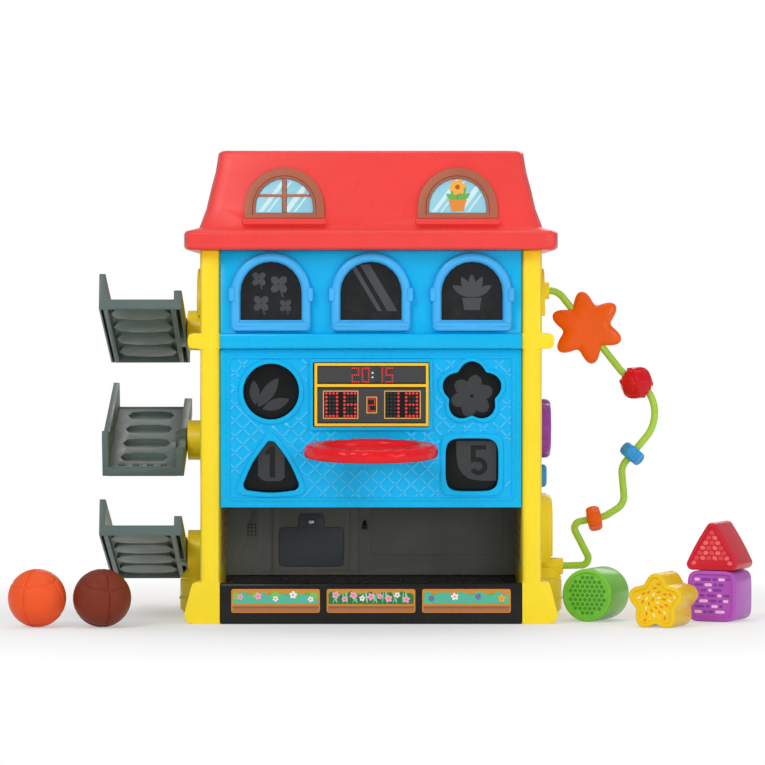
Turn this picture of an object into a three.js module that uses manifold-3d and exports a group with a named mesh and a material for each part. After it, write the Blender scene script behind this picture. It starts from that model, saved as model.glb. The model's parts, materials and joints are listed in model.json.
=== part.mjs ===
// Activity house toy: a two-storey play house with a shape sorter, a hoop, a catch tray,
// three tilting ball ramps on its left wall, a bead wire on its right wall and six loose pieces.
// Millimetres. X to the right, Y to the back, Z up; the origin is the middle of the base's underside.

import * as THREE from 'three';
import { mergeVertices } from 'three/addons/utils/BufferGeometryUtils.js';
import Module from 'manifold-3d';

const wasm = await Module();
wasm.setup();

// General sizes
const fit = 0.3; // gap that two seated pieces keep
const looseFit = 1; // gap beside a piece that moves
const overrun = 1; // how far a cutting solid passes the face that it cuts
const weld = 0.001; // points nearer than this are one point
const roundSteps = 2; // facets in a small rounded corner
const ringSteps = 18; // facets round a large ring
const pinSteps = 8; // facets round a pin or a bore
const slices = 10; // facets along the side of a ball
const beadSteps = 3; // facets in the round edge of a bead
const arcs = 6; // arcs in a full circle

// The house
const panelHalfWidth = 136;
const columnWidth = 18;
const houseHalfDepth = 125;
const columnDepth = 17;
const columnRound = 6;
const eaveBottom = 337;
const eaveHeight = 17;
const panelThickness = 4;
const panelSetback = 4;
const ledgeBottom = 248;
const ledgeHeight = 14;
const ledgeReach = 11; // how far the ledge passes the columns
const ledgeNose = 5;
const footHeight = 38;
const footReach = 14.6; // how far a foot passes its column
const footRound = 8;
const footLean = 6; // how far its side leans in towards the shoulder
const footShoulder = 6;
const footDepth = 34;
const trayTop = 105; // lower edge of the lower panel

const columnOuter = panelHalfWidth + columnWidth;
const panelFront = -houseHalfDepth + panelSetback;
const panelBack = panelFront + panelThickness;
const panelHalf = panelHalfWidth - fit;
const ledgeTop = ledgeBottom + ledgeHeight;
const ledgeOuter = columnOuter + ledgeReach;
const shellBack = houseHalfDepth - panelSetback;
const shellBackInner = shellBack - panelThickness;

// Side walls
const wallSkin = 3.5;
const wallInset = 4; // how far the wall lies behind the columns
const wallOuter = columnOuter - wallInset;
const wallBottom = 8;
const wallPocketBottom = 112;
const wallPocketTop = 330;
const reliefReach = 10.5;
const reliefWidth = 70;
const reliefHeightShare = 0.629;
const reliefHeight = reliefWidth * reliefHeightShare;
const reliefBand = 8;
const reliefGap = 1.5;

// Domed feet in the middle of the sides
const domeRadius = 24;
const domeHeight = 47;
const domeSeam = 33;
const domeSeamDepth = 1.2;
const domeBeadHeight = 15;
const domeBeadRise = 1.5;
const domeRound = 5;
const domeY = 10;

// Base and tray
const baseSkin = 3;
const barTop = 37;
const barDepth = 12;
const trayFrontFloor = 18;
const trayRearFloor = 33;
const housingFront = 50;

// Housing behind the tray
const housingTopFront = 150;
const housingTopRear = 168;
const housingWall = 3;
const doorInset = 49.4;
const doorLeft = doorInset - panelHalfWidth;
const doorWidth = 60.8;
const doorBottom = 41.6;
const doorHeight = 36.5;
const doorThickness = 2;
const doorRound = 4;
const doorLedge = 3;
const tabWidth = 24;
const tabHeight = 13;
const screwShare = 0.42;
const screwHead = 3;
const screwShank = 1.5;
const screwLength = 8;
const screwHeadHeight = 1.4;
const bossRadius = 4;
const cellRadius = 7.1;
const cellLength = 48.5;
const cellNub = 2.6;
const cellNubLength = 1.2;
const compartmentWall = 2;
const contactThickness = 0.6;
const boardWidthShare = 0.726;
const boardHeight = 60;
const boardThickness = 1.6;
const boardInset = 2;
const boardBottom = 66;
const boardOffset = 26;
const speakerRadius = 14;
const speakerDepth = 7;
const magnetShare = 0.55;
const magnetStartShare = 0.6;
const speakerInset = 23.5;
const speakerX = speakerInset - panelHalfWidth;
const speakerZ = 76;
const grilleHole = 1;
const grillePitch = 3.4;
const grilleColumns = 3;
const grilleRows = 4;
const switchGap = 19.7;
const switchX = doorLeft + doorWidth + switchGap;
const switchZ = 81.2;
const switchWidth = 6.6;
const switchHeight = 10.4;
const switchTravel = 4;
const switchKnob = 4.4;
const switchStem = 2.4;
const switchRecess = 1;
const bandDepth = 1;
const bandWidth = 8;
const bandGap = 10.4;
const bandXs = [doorLeft - bandGap, doorLeft + doorWidth + bandGap];
const signGap = 25.8;
const signInset = 12;
const signLeft = doorLeft + doorWidth + signGap;
const signWidth = panelHalfWidth - signInset - signLeft;
const boardLeft = signLeft + boardInset;
const boardWidth = signWidth * boardWidthShare;
const signBottom = 52.4;
const signTop = 108;
const signRise = 1;

// Windows of the upper panel
const windowShares = [-0.662, 0, 0.669]; // places as shares of the panel's half width
const windowXs = windowShares.map((share) => share * panelHalfWidth);
const windowWidth = 55;
const windowHeight = 53;
const windowBottom = 273.4;
const frameBand = 8.5;
const frameRise = 4;
const sillWidth = 69;
const sillHeight = 8;
const sillDrop = 1.2;
const sillRise = 6;
const clipWidth = 4;
const clipHeight = 12;
const clipRise = 17.5;
const lensLap = 4;
const lensThickness = 2;

// Shape sorter of the lower panel
const sorterLeftShare = -0.662;
const sorterRightShare = 0.669;
const sorterLeft = sorterLeftShare * panelHalfWidth;
const sorterRight = sorterRightShare * panelHalfWidth;
const sorterHigh = 209.5;
const sorterLow = 143.5;
const roundHole = 25;
const starHole = 27;
const starValleyShare = 0.76;
const triangleHole = 58;
const triangleRise = 50.3;
const triangleDrop = 23.3; // from the lower holes' middle to the triangle's base
const triangleWidening = 3.4; // a triangle's width grows by this times its margin
const triangleLift = 3; // and its height by this times its margin
const squareHole = 47.5;
const holeRound = 6;
const rimBand = 4;
const rimRise = 1.6;
const borderInset = 6;
const borderBand = 2.5;
const borderRise = 1;
const lowerLip = 8;

// Flaps behind the holes
const flapWidth = 60;
const flapThickness = 2;
const flapHighTop = 242;
const flapHighHeight = 60;
const flapLowTop = 175;
const flapLowHeight = 57;
const flapPin = 1.4;
const flapBarrel = 2.6;
const flapPinLength = 4;
const flapEar = 3;
const flapAxisOffset = 4;

// Scoreboard
const scoreHalfShare = 0.3824;
const boardHalf = scoreHalfShare * panelHalfWidth;
const scoreBottom = 177.7;
const scoreTop = 235.7;
const scoreThickness = 1.2;
const scoreBand = 3;
const scoreRise = 2.4;

// Hoop
const hoopOuter = 59.5;
const hoopInner = 43;
const hoopTop = 169;
const hoopHeight = 13;
const hoopRound = 4;
const hoopTiltDegrees = 3.2;
const hoopScallops = 12;
const scallopRadius = 3;
const bracketHalf = 20;
const bracketHeight = 12;
const tongueHalf = 12;
const tongueHeight = 6;
const tongueLength = 9;

// Planter pads on the front bar
const padPitchShare = 0.632;
const padWidthShare = 0.588;
const padPitch = padPitchShare * panelHalfWidth;
const padWidth = padWidthShare * panelHalfWidth;
const padHeight = 21.6;
const padMiddle = 21;
const padThickness = 1.5;
const padRound = 2;

// Roof
const eaveOverhang = 14;
const eaveReachX = columnOuter + eaveOverhang;
const eaveReachY = houseHalfDepth + eaveOverhang;
const roofFootStep = 3;
const roofFoot = eaveBottom + eaveHeight + roofFootStep;
const roofHeight = 70;
const houseHeight = roofFoot + roofHeight;
const roofFootOver = 1;
const roofFootX = columnOuter + roofFootOver;
const roofFootY = houseHalfDepth + roofFootOver;
const roofWaistShare = 0.486;
const roofWaist = roofFoot + roofHeight * roofWaistShare;
const roofWaistInset = 9;
const roofWaistX = columnOuter - roofWaistInset;
const roofWaistY = houseHalfDepth - roofWaistInset;
const roofTopInset = 16;
const roofTopX = columnOuter - roofTopInset;
const roofTopY = houseHalfDepth - roofTopInset;
const roofCrownDrop = 2;
const roofCrown = houseHeight - roofCrownDrop;
const roofCrownInset = 3;
const roofSagShare = 0.38; // how hollow the slopes are
const roofCorner = 14;
const roofSkin = 3;
const eaveRound = 2;
const roofWindowShare = 0.5735;
const roofWindowX = roofWindowShare * panelHalfWidth;
const roofWindowBottomShare = 0.121;
const roofWindowBottom = roofFoot + roofHeight * roofWindowBottomShare;
const roofWindowHeightShare = 0.657;
const roofWindowHeight = roofHeight * roofWindowHeightShare;
const roofWindowWidthShare = 1.565;
const roofWindowWidth = roofWindowHeight * roofWindowWidthShare;
const roofWindowBand = 10;
const roofWindowRise = 3.4;
const paneRise = 1.6;
const muntin = 2.4;
const roofSillWidth = 76;
const roofSillHeight = 5.6;
const roofSillReach = 4;

// Ramps on the left wall
const rampPivotZs = [264, 162, 60];
const rampBossRadius = 18.5;
const rampBossReach = 20;
const rampBossEnd = wallOuter + rampBossReach;
const rampInner = rampBossEnd + looseFit;
const rampInnerWall = 7;
const rampChannel = 62;
const rampGuardWall = 5.5;
const rampHigh = 118;
const rampLow = 72;
const rampDeckDrop = 4;
const rampDeckTop = -rampDeckDrop;
const rampDeckSkin = 2.5;
const rampDepth = 8;
const rampInnerRise = 10.5;
const rampGuardRise = 26;
const rampCheekRise = 34;
const rampCheekLength = 28;
const rampCheekStep = 3;
const rampLip = 8;
const rampFrontLip = 1;
const rampSlopeDegrees = 15.5;
const rampSkirt = 2.5;
const pocketSteps = 2; // facets in a pocket's corner
const pocketCount = 4;
const pocketLength = 44;
const pocketWidth = 27;
const pocketPitch = 44;
const pocketFirst = 92;
const pocketDepth = 4;
const pocketSkin = 2;
const pocketWall = 5;
const grooveSkin = 1.6; // wall left on each side of the grooves under the ramp's sides
const grooveRoof = 4;
const drainSize = 6;
const drainPitch = 13;
const drainCount = 4;
const drainY = 61;
const earRadius = 12;
const pivotRadius = 6;
const capRadius = 9;
const capThickness = 2;
const capShank = 2;
const capShankLength = 8;

// Bead wire on the right wall; corners run from the upper socket to the lower one
const wireRadius = 3.3;
const wireY = 10;
const wireTop = 301;
const wireBottom = 44.2;
const wireRootGap = 6;
const wireRoot = wallOuter + wireRootGap;
const wireFit = 0.6;
const wireReach = 128.4;
const wireCornerXShares = [0, 0.139, 0.614, 1, 0.603, 0.628, 0.483, 0.239, 0.394, 0.031];
const wireCornerZShares = [1, 1, 0.7006, 0.598, 0.3614, 0.2255, 0.1807, 0.1558, 0.004, 0];
const wireBends = [0, 16, 20, 35.5, 16, 14, 20, 6.5, 6.5, 0];
const wireSteps = 50;
const wireSides = 8;
const upperSocketReach = 16;
const lowerSocketReach = 29;
const upperSocketEnd = wallOuter + upperSocketReach;
const lowerSocketEnd = wallOuter + lowerSocketReach;
const socketRadius = 8;
const starRadius = 34;
const starWaist = 22;
const starThickness = 17;
const starPoints = 6;
const starSharpness = 1.3;
const starPuff = 0.6;
const starPlaceShare = 0.42;
const cageRadius = 16;
const cageBore = 6;
const cageOffsetShare = 0.7;
const cageStartDegrees = 57;
const smallBeadRadius = 11;
const smallBeadWidth = 13;
const smallBeadRound = 4;
const blueBeadShare = 0.687;
const orangeBeadShare = 0.33;
const beadFit = 0.3;

// Dial, plate and bulge on the right wall
const dialRadius = 27.5;
const dialZ = 173;
const dialRise = 16.5;
const dialRim = 6;
const dialHub = 4;
const dialHubLength = 9;
const dialPlinth = 8;
const dialPlinthRise = 2;
const plateZ = 129;
const plateRadius = 11;
const plateRise = 13;
const plateDomeRise = 2;
const bulgeBottom = 50;
const bulgeHeight = 63;
const bulgeWidth = 60;
const bulgeReach = 18;
const bulgeRound = 5;

// Loose pieces
const ballRadius = 26;
const ballY = -160;
const ballGap = 75; // from the ledge's nose to the middle of the nearer ball
const ballPitch = 58;
const brownBallX = -ledgeOuter - ballGap;
const orangeBallX = brownBallX - ballPitch;
const blockDepth = 46;
const blockRim = 3;
const blockRecess = 3;
const blockTurnDegrees = -24;
const cylinderRadius = 24.1;
const squareBlock = 46.5;
const triangleBlock = 56.5;
const triangleBlockRise = 48.8;
const starBlock = 26;
const blockRound = 6;
const blockRowY = -78;
const blockFrontY = -150;
const blockGap = 40; // from the ledge's nose to the middle of the nearest block
const starBlockPitch = 57;
const squareBlockPitch = 56;
const cylinderX = ledgeOuter + blockGap;
const starBlockX = cylinderX + starBlockPitch;
const squareBlockX = starBlockX + squareBlockPitch;
const blockRest = 0.3;

const degrees = Math.PI / 180;

// Closed solids from three.js geometry

function signedVolume(positions, index) {
  const a = new THREE.Vector3();
  const b = new THREE.Vector3();
  const c = new THREE.Vector3();
  let total = 0;
  for (let i = 0; i < index.length; i += 3) {
    a.fromArray(positions, 3 * index[i]);
    b.fromArray(positions, 3 * index[i + 1]);
    c.fromArray(positions, 3 * index[i + 2]);
    total += a.dot(b.cross(c));
  }
  return total;
}

// A welded geometry as a solid, with its faces turned outwards
function solid(geometry) {
  const bare = geometry.clone();
  bare.deleteAttribute('normal');
  bare.deleteAttribute('uv');
  const merged = mergeVertices(bare, weld);
  const positions = merged.attributes.position.array;
  const kept = [];
  for (let i = 0; i < merged.index.count; i += 3) {
    const corners = [0, 1, 2].map((k) => merged.index.array[i + k]);
    if (new Set(corners).size === corners.length) {
      kept.push(...corners);
    }
  }
  if (signedVolume(positions, kept) < 0) {
    kept.reverse();
  }
  return new wasm.Manifold(new wasm.Mesh({
    numProp: 3,
    vertProperties: positions,
    triVerts: new Uint32Array(kept),
  }));
}

function geometryOf(body) {
  const mesh = body.getMesh();
  const geometry = new THREE.BufferGeometry();
  geometry.setAttribute('position', new THREE.BufferAttribute(new Float32Array(mesh.vertProperties), 3));
  geometry.setIndex(new THREE.BufferAttribute(new Uint32Array(mesh.triVerts), 1));
  geometry.computeVertexNormals();
  return geometry;
}

function joined(bodies) {
  return bodies.reduce((sum, body) => sum.add(body));
}

function cut(body, tools) {
  return tools.reduce((rest, tool) => rest.subtract(tool), body);
}

// Turns that carry a geometry's own Z axis onto X or Y
const alongX = new THREE.Matrix4().set(0, 0, 1, 0, 1, 0, 0, 0, 0, 1, 0, 0, 0, 0, 0, 1);
const alongY = new THREE.Matrix4().set(1, 0, 0, 0, 0, 0, -1, 0, 0, 1, 0, 0, 0, 0, 0, 1);

function placed(geometry, axis, x, y, z) {
  if (axis === 'x') {
    geometry.applyMatrix4(alongX);
  }
  if (axis === 'y') {
    geometry.applyMatrix4(alongY);
  }
  geometry.translate(x, y, z);
  return geometry;
}

// A box between three pairs of limits, given in any order
function block(xs, ys, zs) {
  const spans = [xs, ys, zs].map(([a, b]) => Math.abs(b - a));
  const middles = [xs, ys, zs].map(([a, b]) => (a + b) / 2);
  return solid(placed(new THREE.BoxGeometry(...spans), 'z', ...middles));
}

// An outline pushed along an axis: X takes (Y, Z) outlines, Y takes (X, Z) and Z takes (X, Y)
function prism(axis, shape, start, end, steps = roundSteps) {
  const low = Math.min(start, end);
  const high = Math.max(start, end);
  const settings = { depth: high - low, bevelEnabled: false, curveSegments: steps };
  const geometry = new THREE.ExtrudeGeometry(shape, settings);
  if (axis === 'x') {
    return solid(placed(geometry, axis, low, 0, 0));
  }
  if (axis === 'y') {
    return solid(placed(geometry, axis, 0, high, 0));
  }
  return solid(placed(geometry, axis, 0, 0, low));
}

// A round bar along an axis through the point (x, y, z), from start to end on that axis
function rod(axis, radius, start, end, [x, y, z], steps = pinSteps) {
  const geometry = new THREE.CylinderGeometry(radius, radius, Math.abs(end - start), steps);
  geometry.rotateX(Math.PI / 2);
  const middle = (start + end) / 2;
  const place = { x: [middle, y, z], y: [x, middle, z], z: [x, y, middle] }[axis];
  return solid(placed(geometry, axis, ...place));
}

// A revolved profile of [radius, height] points, its axis along Z or turned onto X
function turned(profile, axis, [x, y, z], steps = ringSteps) {
  const geometry = new THREE.LatheGeometry(profile.map(([r, h]) => new THREE.Vector2(r, h)), steps);
  geometry.rotateX(Math.PI / 2);
  return solid(placed(geometry, axis, x, y, z));
}

// Outlines

function rectangle(left, right, bottom, top, corner) {
  const shape = new THREE.Shape();
  shape.moveTo(left + corner, bottom);
  shape.lineTo(right - corner, bottom);
  shape.quadraticCurveTo(right, bottom, right, bottom + corner);
  shape.lineTo(right, top - corner);
  shape.quadraticCurveTo(right, top, right - corner, top);
  shape.lineTo(left + corner, top);
  shape.quadraticCurveTo(left, top, left, top - corner);
  shape.lineTo(left, bottom + corner);
  shape.quadraticCurveTo(left, bottom, left + corner, bottom);
  return shape;
}

function centredRectangle(x, y, width, height, corner) {
  return rectangle(x - width / 2, x + width / 2, y - height / 2, y + height / 2, corner);
}

// Straight sides under a half round, with its lower edge at the bottom
function arch(x, bottom, width, height) {
  const radius = width / 2;
  const shape = new THREE.Shape();
  shape.moveTo(x - radius, bottom);
  shape.lineTo(x + radius, bottom);
  const sweep = 2 * Math.PI / arcs;
  for (let i = 0; i < arcs / 2; i += 1) {
    shape.absarc(x, bottom + height - radius, radius, i * sweep, (i + 1) * sweep);
  }
  shape.closePath();
  return shape;
}

// A regular outline with swelling lobes; the waist share is its valley radius
function lobed(x, y, radius, waistShare, lobes) {
  const shape = new THREE.Shape();
  const steps = lobes * 6;
  for (let i = 0; i < steps; i += 1) {
    const turn = (i / steps) * 2 * Math.PI;
    const swell = (1 + Math.cos(lobes * turn)) / 2;
    const reach = radius * (waistShare + (1 - waistShare) * Math.sqrt(swell));
    const point = [x + reach * Math.sin(turn), y + reach * Math.cos(turn)];
    if (i === 0) {
      shape.moveTo(...point);
    } else {
      shape.lineTo(...point);
    }
  }
  shape.closePath();
  return shape;
}

// A triangle standing on its base, its corners rounded
function roundedTriangle(x, bottom, width, height, corner) {
  const corners = [
    new THREE.Vector2(x - width / 2, bottom),
    new THREE.Vector2(x + width / 2, bottom),
    new THREE.Vector2(x, bottom + height),
  ];
  const shape = new THREE.Shape();
  corners.forEach((point, i) => {
    const before = corners[(i + 2) % 3].clone().sub(point).setLength(corner);
    const after = corners[(i + 1) % 3].clone().sub(point).setLength(corner);
    const start = point.clone().add(before);
    const end = point.clone().add(after);
    if (i === 0) {
      shape.moveTo(start.x, start.y);
    } else {
      shape.lineTo(start.x, start.y);
    }
    shape.quadraticCurveTo(point.x, point.y, end.x, end.y);
  });
  shape.closePath();
  return shape;
}

function circle(x, y, radius) {
  const shape = new THREE.Shape();
  const sweep = 2 * Math.PI / arcs;
  for (let i = 0; i < arcs; i += 1) {
    shape.absarc(x, y, radius, i * sweep, (i + 1) * sweep);
  }
  return shape;
}

// Finishes

function finish(color, roughness, metalness = 0) {
  return new THREE.MeshStandardMaterial({ color, roughness, metalness, flatShading: true });
}

const finishes = {
  yellow: finish(0xfdd83c, 0.35),
  blue: finish(0x00a6e8, 0.35),
  lightBlue: finish(0x50b9f5, 0.35),
  red: finish(0xf04641, 0.35),
  hoopRed: finish(0xe11c24, 0.3),
  black: finish(0x2d2e2c, 0.45),
  smoke: finish(0x26282a, 0.12),
  grey: finish(0x58625d, 0.45),
  brown: finish(0xaf6950, 0.4),
  pane: finish(0xa5d7e1, 0.25),
  green: finish(0x9cce50, 0.35),
  orange: finish(0xf46b21, 0.3),
  beadRed: finish(0xcd1428, 0.3),
  beadBlue: finish(0x3ca0e6, 0.3),
  purple: finish(0xb455be, 0.35),
  blockGreen: finish(0x7dc84b, 0.35),
  blockRed: finish(0xcd2837, 0.35),
  blockYellow: finish(0xebbe1e, 0.35),
  ballOrange: finish(0xee5a2d, 0.4),
  ballBrown: finish(0x823723, 0.4),
  steel: finish(0xb8bcc0, 0.3, 1),
  board: finish(0x2f6b3c, 0.5),
  cell: finish(0x3a3d42, 0.35, 0.4),
  sign: finish(0x3b3b40, 0.4),
  wood: finish(0xb9772f, 0.5),
};

// Side walls

// The pointed nose of the ledge in X and Z, on the side given by sign
function ledgeSection(sign) {
  const shape = new THREE.Shape();
  shape.moveTo(sign * panelHalfWidth, ledgeBottom);
  shape.lineTo(sign * (ledgeOuter - ledgeNose), ledgeBottom);
  shape.quadraticCurveTo(sign * ledgeOuter, ledgeBottom, sign * ledgeOuter, ledgeBottom + ledgeNose);
  shape.lineTo(sign * ledgeOuter, ledgeTop - ledgeNose);
  shape.quadraticCurveTo(sign * ledgeOuter, ledgeTop, sign * (ledgeOuter - ledgeNose), ledgeTop);
  shape.lineTo(sign * panelHalfWidth, ledgeTop);
  shape.closePath();
  return shape;
}

// A flared foot in X and Z: narrow at the column, wide and round at the floor
function footSection(sign) {
  const outer = columnOuter + footReach;
  const shape = new THREE.Shape();
  shape.moveTo(sign * (panelHalfWidth + fit), 0);
  shape.lineTo(sign * (outer - footRound), 0);
  shape.quadraticCurveTo(sign * outer, 0, sign * outer, footRound);
  shape.lineTo(sign * (outer - footLean), footHeight - footShoulder);
  shape.quadraticCurveTo(
    sign * (outer - footLean), footHeight, sign * (outer - footLean - footShoulder), footHeight);
  shape.lineTo(sign * (panelHalfWidth + fit), footHeight);
  shape.closePath();
  return shape;
}

function column(sign, face) {
  const inner = panelHalfWidth * sign;
  const outer = columnOuter * sign;
  const near = face * houseHalfDepth;
  const far = face * (houseHalfDepth - columnDepth);
  const outline = rectangle(
    Math.min(inner, outer), Math.max(inner, outer), Math.min(near, far), Math.max(near, far), columnRound);
  return prism('z', outline, wallBottom, eaveBottom - fit, 2);
}

function foot(sign, face) {
  const near = face * houseHalfDepth;
  return prism('y', footSection(sign), near, near - face * footDepth);
}

function domedFoot(sign) {
  const profile = [
    [0, 0],
    [domeRadius - domeRound, 0],
    [domeRadius, domeRound],
    [domeRadius, domeBeadHeight - domeBeadRise],
    [domeRadius + domeBeadRise, domeBeadHeight],
    [domeRadius, domeBeadHeight + domeBeadRise],
    [domeRadius, domeSeam - domeSeamDepth],
    [domeRadius - domeSeamDepth, domeSeam],
    [domeRadius, domeSeam + domeSeamDepth],
  ];
  const crown = domeHeight - domeSeam - domeSeamDepth;
  for (let i = 1; i < roundSteps; i += 1) {
    const turn = (i / roundSteps) * (Math.PI / 2);
    profile.push([domeRadius * Math.cos(turn), domeSeam + domeSeamDepth + crown * Math.sin(turn)]);
  }
  profile.push([0, domeHeight]);
  const dome = turned(profile, 'z', [sign * columnOuter, domeY, 0]);
  return dome.subtract(block(
    [0, sign * panelHalfWidth], [domeY - domeRadius - bulgeRound, domeY + domeRadius + bulgeRound],
    [-overrun, domeHeight + overrun]));
}

// A raised arched frame high on the wall, with a narrow groove inside its band
function wallRelief(sign) {
  const bottom = ledgeTop + (eaveBottom - ledgeTop - reliefHeight) / 2;
  const face = wallOuter + reliefReach;
  const inner = wallOuter - wallSkin;
  const body = prism('x', arch(0, bottom, reliefWidth, reliefHeight), sign * inner, sign * face);
  const opening = arch(0, bottom + reliefBand, reliefWidth - 2 * reliefBand, reliefHeight - 2 * reliefBand);
  const groove = prism('x', opening, sign * (face - reliefGap * 2), sign * (face + overrun));
  return body.subtract(groove);
}

function wallPlate(sign) {
  const halfDepth = houseHalfDepth - columnDepth + overrun;
  const plate = block(
    [sign * panelHalfWidth, sign * wallOuter], [-halfDepth, halfDepth], [wallBottom, eaveBottom - fit]);
  const pocketHalf = houseHalfDepth - columnDepth - wallSkin;
  const pocket = block(
    [sign * (panelHalfWidth - overrun), sign * (wallOuter - wallSkin)],
    [-pocketHalf, pocketHalf], [wallPocketBottom, wallPocketTop]);
  return plate.subtract(pocket);
}

function wallLedge(sign) {
  const ledge = prism('y', ledgeSection(sign), -houseHalfDepth, houseHalfDepth);
  const pocketHalf = houseHalfDepth - columnDepth - wallSkin;
  const pocket = block(
    [sign * (panelHalfWidth - overrun), sign * (wallOuter - wallSkin)],
    [-pocketHalf, pocketHalf], [wallPocketBottom, wallPocketTop]);
  return ledge.subtract(pocket);
}

function sideWallShell(sign) {
  return joined([
    wallPlate(sign), wallLedge(sign), wallRelief(sign), domedFoot(sign),
    column(sign, -1), column(sign, 1), foot(sign, -1), foot(sign, 1),
  ]);
}

// Boss and hollow pin that carry one ramp
function rampBoss(z) {
  const pinEnd = rampInner + rampInnerWall - fit;
  const inner = wallOuter - wallSkin;
  const boss = rod('x', rampBossRadius, -inner, -rampBossEnd, [0, 0, z], ringSteps);
  const pin = rod('x', pivotRadius, -inner, -pinEnd, [0, 0, z]);
  return boss.add(pin);
}

function rampBore(z) {
  const end = rampInner + rampInnerWall;
  return rod('x', capShank + fit, -(end - capShankLength - overrun), -(end + overrun), [0, 0, z]);
}

function leftSideWall() {
  const bosses = rampPivotZs.map(rampBoss);
  return cut(joined([sideWallShell(-1), ...bosses]), rampPivotZs.map(rampBore));
}

// Socket that holds one end of the bead wire
function wireSocket(end, z) {
  return rod('x', socketRadius, wallOuter - wallSkin, end, [0, wireY, z]);
}

function wireSocketBore(end, z) {
  return rod('x', wireRadius + wireFit, wireRoot - fit, end + overrun, [0, wireY, z], ringSteps);
}

// Swelling arched cheek low on the right wall, rounded at its outer edge
function wallBulge() {
  const inner = wallOuter - wallSkin;
  const layers = [
    [inner, wallOuter + bulgeReach - bulgeRound, 0],
    [inner, wallOuter + bulgeReach - bulgeRound / 3, bulgeRound / 3],
    [inner, wallOuter + bulgeReach, bulgeRound],
  ];
  return joined(layers.map(([start, end, inset]) => prism(
    'x', arch(0, bulgeBottom + inset, bulgeWidth - 2 * inset, bulgeHeight - 2 * inset), start, end)));
}

function rightSideWall() {
  const plinth = rod('x', dialPlinth, wallOuter - wallSkin, wallOuter + dialPlinthRise, [0, 0, dialZ]);
  const hub = rod('x', dialHub, wallOuter, wallOuter + dialHubLength, [0, 0, dialZ]);
  const body = joined([
    sideWallShell(1), plinth, hub, wallBulge(),
    wireSocket(upperSocketEnd, wireTop), wireSocket(lowerSocketEnd, wireBottom),
  ]);
  return cut(body,
    [wireSocketBore(upperSocketEnd, wireTop), wireSocketBore(lowerSocketEnd, wireBottom),
  ]);
}

// Dial that spins on the hub of the right wall
function sideDial() {
  const start = wallOuter + dialPlinthRise + fit;
  const top = dialRise - dialPlinthRise;
  const profile = [[0, dialHubLength]];
  profile.push([dialHub + fit, dialHubLength]);
  profile.push([dialHub + fit, 0]);
  profile.push([dialRadius - overrun, 0]);
  profile.push([dialRadius, overrun]);
  profile.push([dialRadius, dialRim]);
  for (let i = 1; i < roundSteps; i += 1) {
    const turn = (i / roundSteps) * (Math.PI / 2);
    profile.push([dialRadius * Math.cos(turn), dialRim + (top - dialRim) * Math.sin(turn)]);
  }
  profile.push([0, top]);
  return turned(profile, 'x', [start, 0, dialZ]);
}

// Round blue plate under the dial
function sidePlate() {
  const start = wallOuter + fit;
  const profile = [[0, 0], [plateRadius, 0], [plateRadius, plateRise - plateDomeRise], [0, plateRise]];
  return turned(profile, 'x', [start, 0, plateZ]);
}

// Base with its tray floor, the front bar and an open underside at the back

function baseTray() {
  const back = shellBack - fit;
  const half = panelHalfWidth - fit;
  const front = -houseHalfDepth + fit;
  const shape = new THREE.Shape();
  shape.moveTo(front, 0);
  shape.lineTo(back, 0);
  shape.lineTo(back, baseSkin);
  shape.lineTo(front + barDepth, baseSkin);
  shape.lineTo(front + barDepth, trayFrontFloor - baseSkin);
  shape.lineTo(housingFront, trayRearFloor - baseSkin);
  shape.lineTo(back - panelThickness - fit, trayRearFloor - baseSkin);
  shape.lineTo(back - panelThickness - fit, trayRearFloor);
  shape.lineTo(housingFront, trayRearFloor);
  shape.lineTo(front + barDepth, trayFrontFloor);
  shape.lineTo(front + barDepth, barTop - baseSkin);
  shape.quadraticCurveTo(front + barDepth, barTop, front + barDepth - baseSkin, barTop);
  shape.lineTo(front + baseSkin, barTop);
  shape.quadraticCurveTo(front, barTop, front, barTop - baseSkin);
  shape.closePath();
  return prism('x', shape, -half, half);
}

function planterPad(i) {
  const x = (i - 1) * padPitch;
  const back = -houseHalfDepth;
  return prism(
    'y', centredRectangle(x, padMiddle, padWidth, padHeight, padRound), back, back - padThickness);
}

// Electronics housing behind the tray

const doorMiddle = doorLeft + doorWidth / 2;
const doorTop = doorBottom + doorHeight;
const housingInner = housingFront + housingWall;
const housingBack = shellBackInner - looseFit;
const screwZ = doorTop + tabHeight * screwShare;
const compartmentDepth = 2 * (cellRadius + fit) + looseFit;

// The door's outline with its tab, grown by a margin
function doorOutline(margin) {
  const round = Math.max(doorRound + margin, weld);
  const panel = rectangle(
    doorLeft - margin, doorLeft + doorWidth + margin, doorBottom - margin, doorTop + margin, round);
  const tab = centredRectangle(
    doorMiddle, doorTop + (tabHeight - doorRound) / 2,
    tabWidth + 2 * margin, tabHeight + doorRound + 2 * margin, round);
  return [panel, tab];
}

function doorSolid(margin, start, end) {
  return joined(doorOutline(margin).map((outline) => prism('y', outline, start, end)));
}

function batteryDoor() {
  const face = housingFront - doorThickness / 2;
  const door = doorSolid(0, face, face + doorThickness);
  const bore = rod(
    'y', screwShank + fit, face - overrun, face + doorThickness + overrun, [doorMiddle, 0, screwZ]);
  return door.subtract(bore);
}

function batteryDoorScrew() {
  const face = housingFront - doorThickness / 2 - fit;
  const head = rod('y', screwHead, face - screwHeadHeight, face, [doorMiddle, 0, screwZ]);
  const shank = rod(
    'y', screwShank, face - screwHeadHeight / 2, face + screwLength, [doorMiddle, 0, screwZ]);
  return head.add(shank);
}

function compartmentLimits(margin) {
  const halfLength = cellLength / 2 + looseFit + contactThickness + fit + margin;
  const halfHeight = 2 * (cellRadius + fit) + margin;
  const middle = doorBottom + doorHeight / 2;
  return [[doorMiddle - halfLength, doorMiddle + halfLength], [middle - halfHeight, middle + halfHeight]];
}

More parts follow.
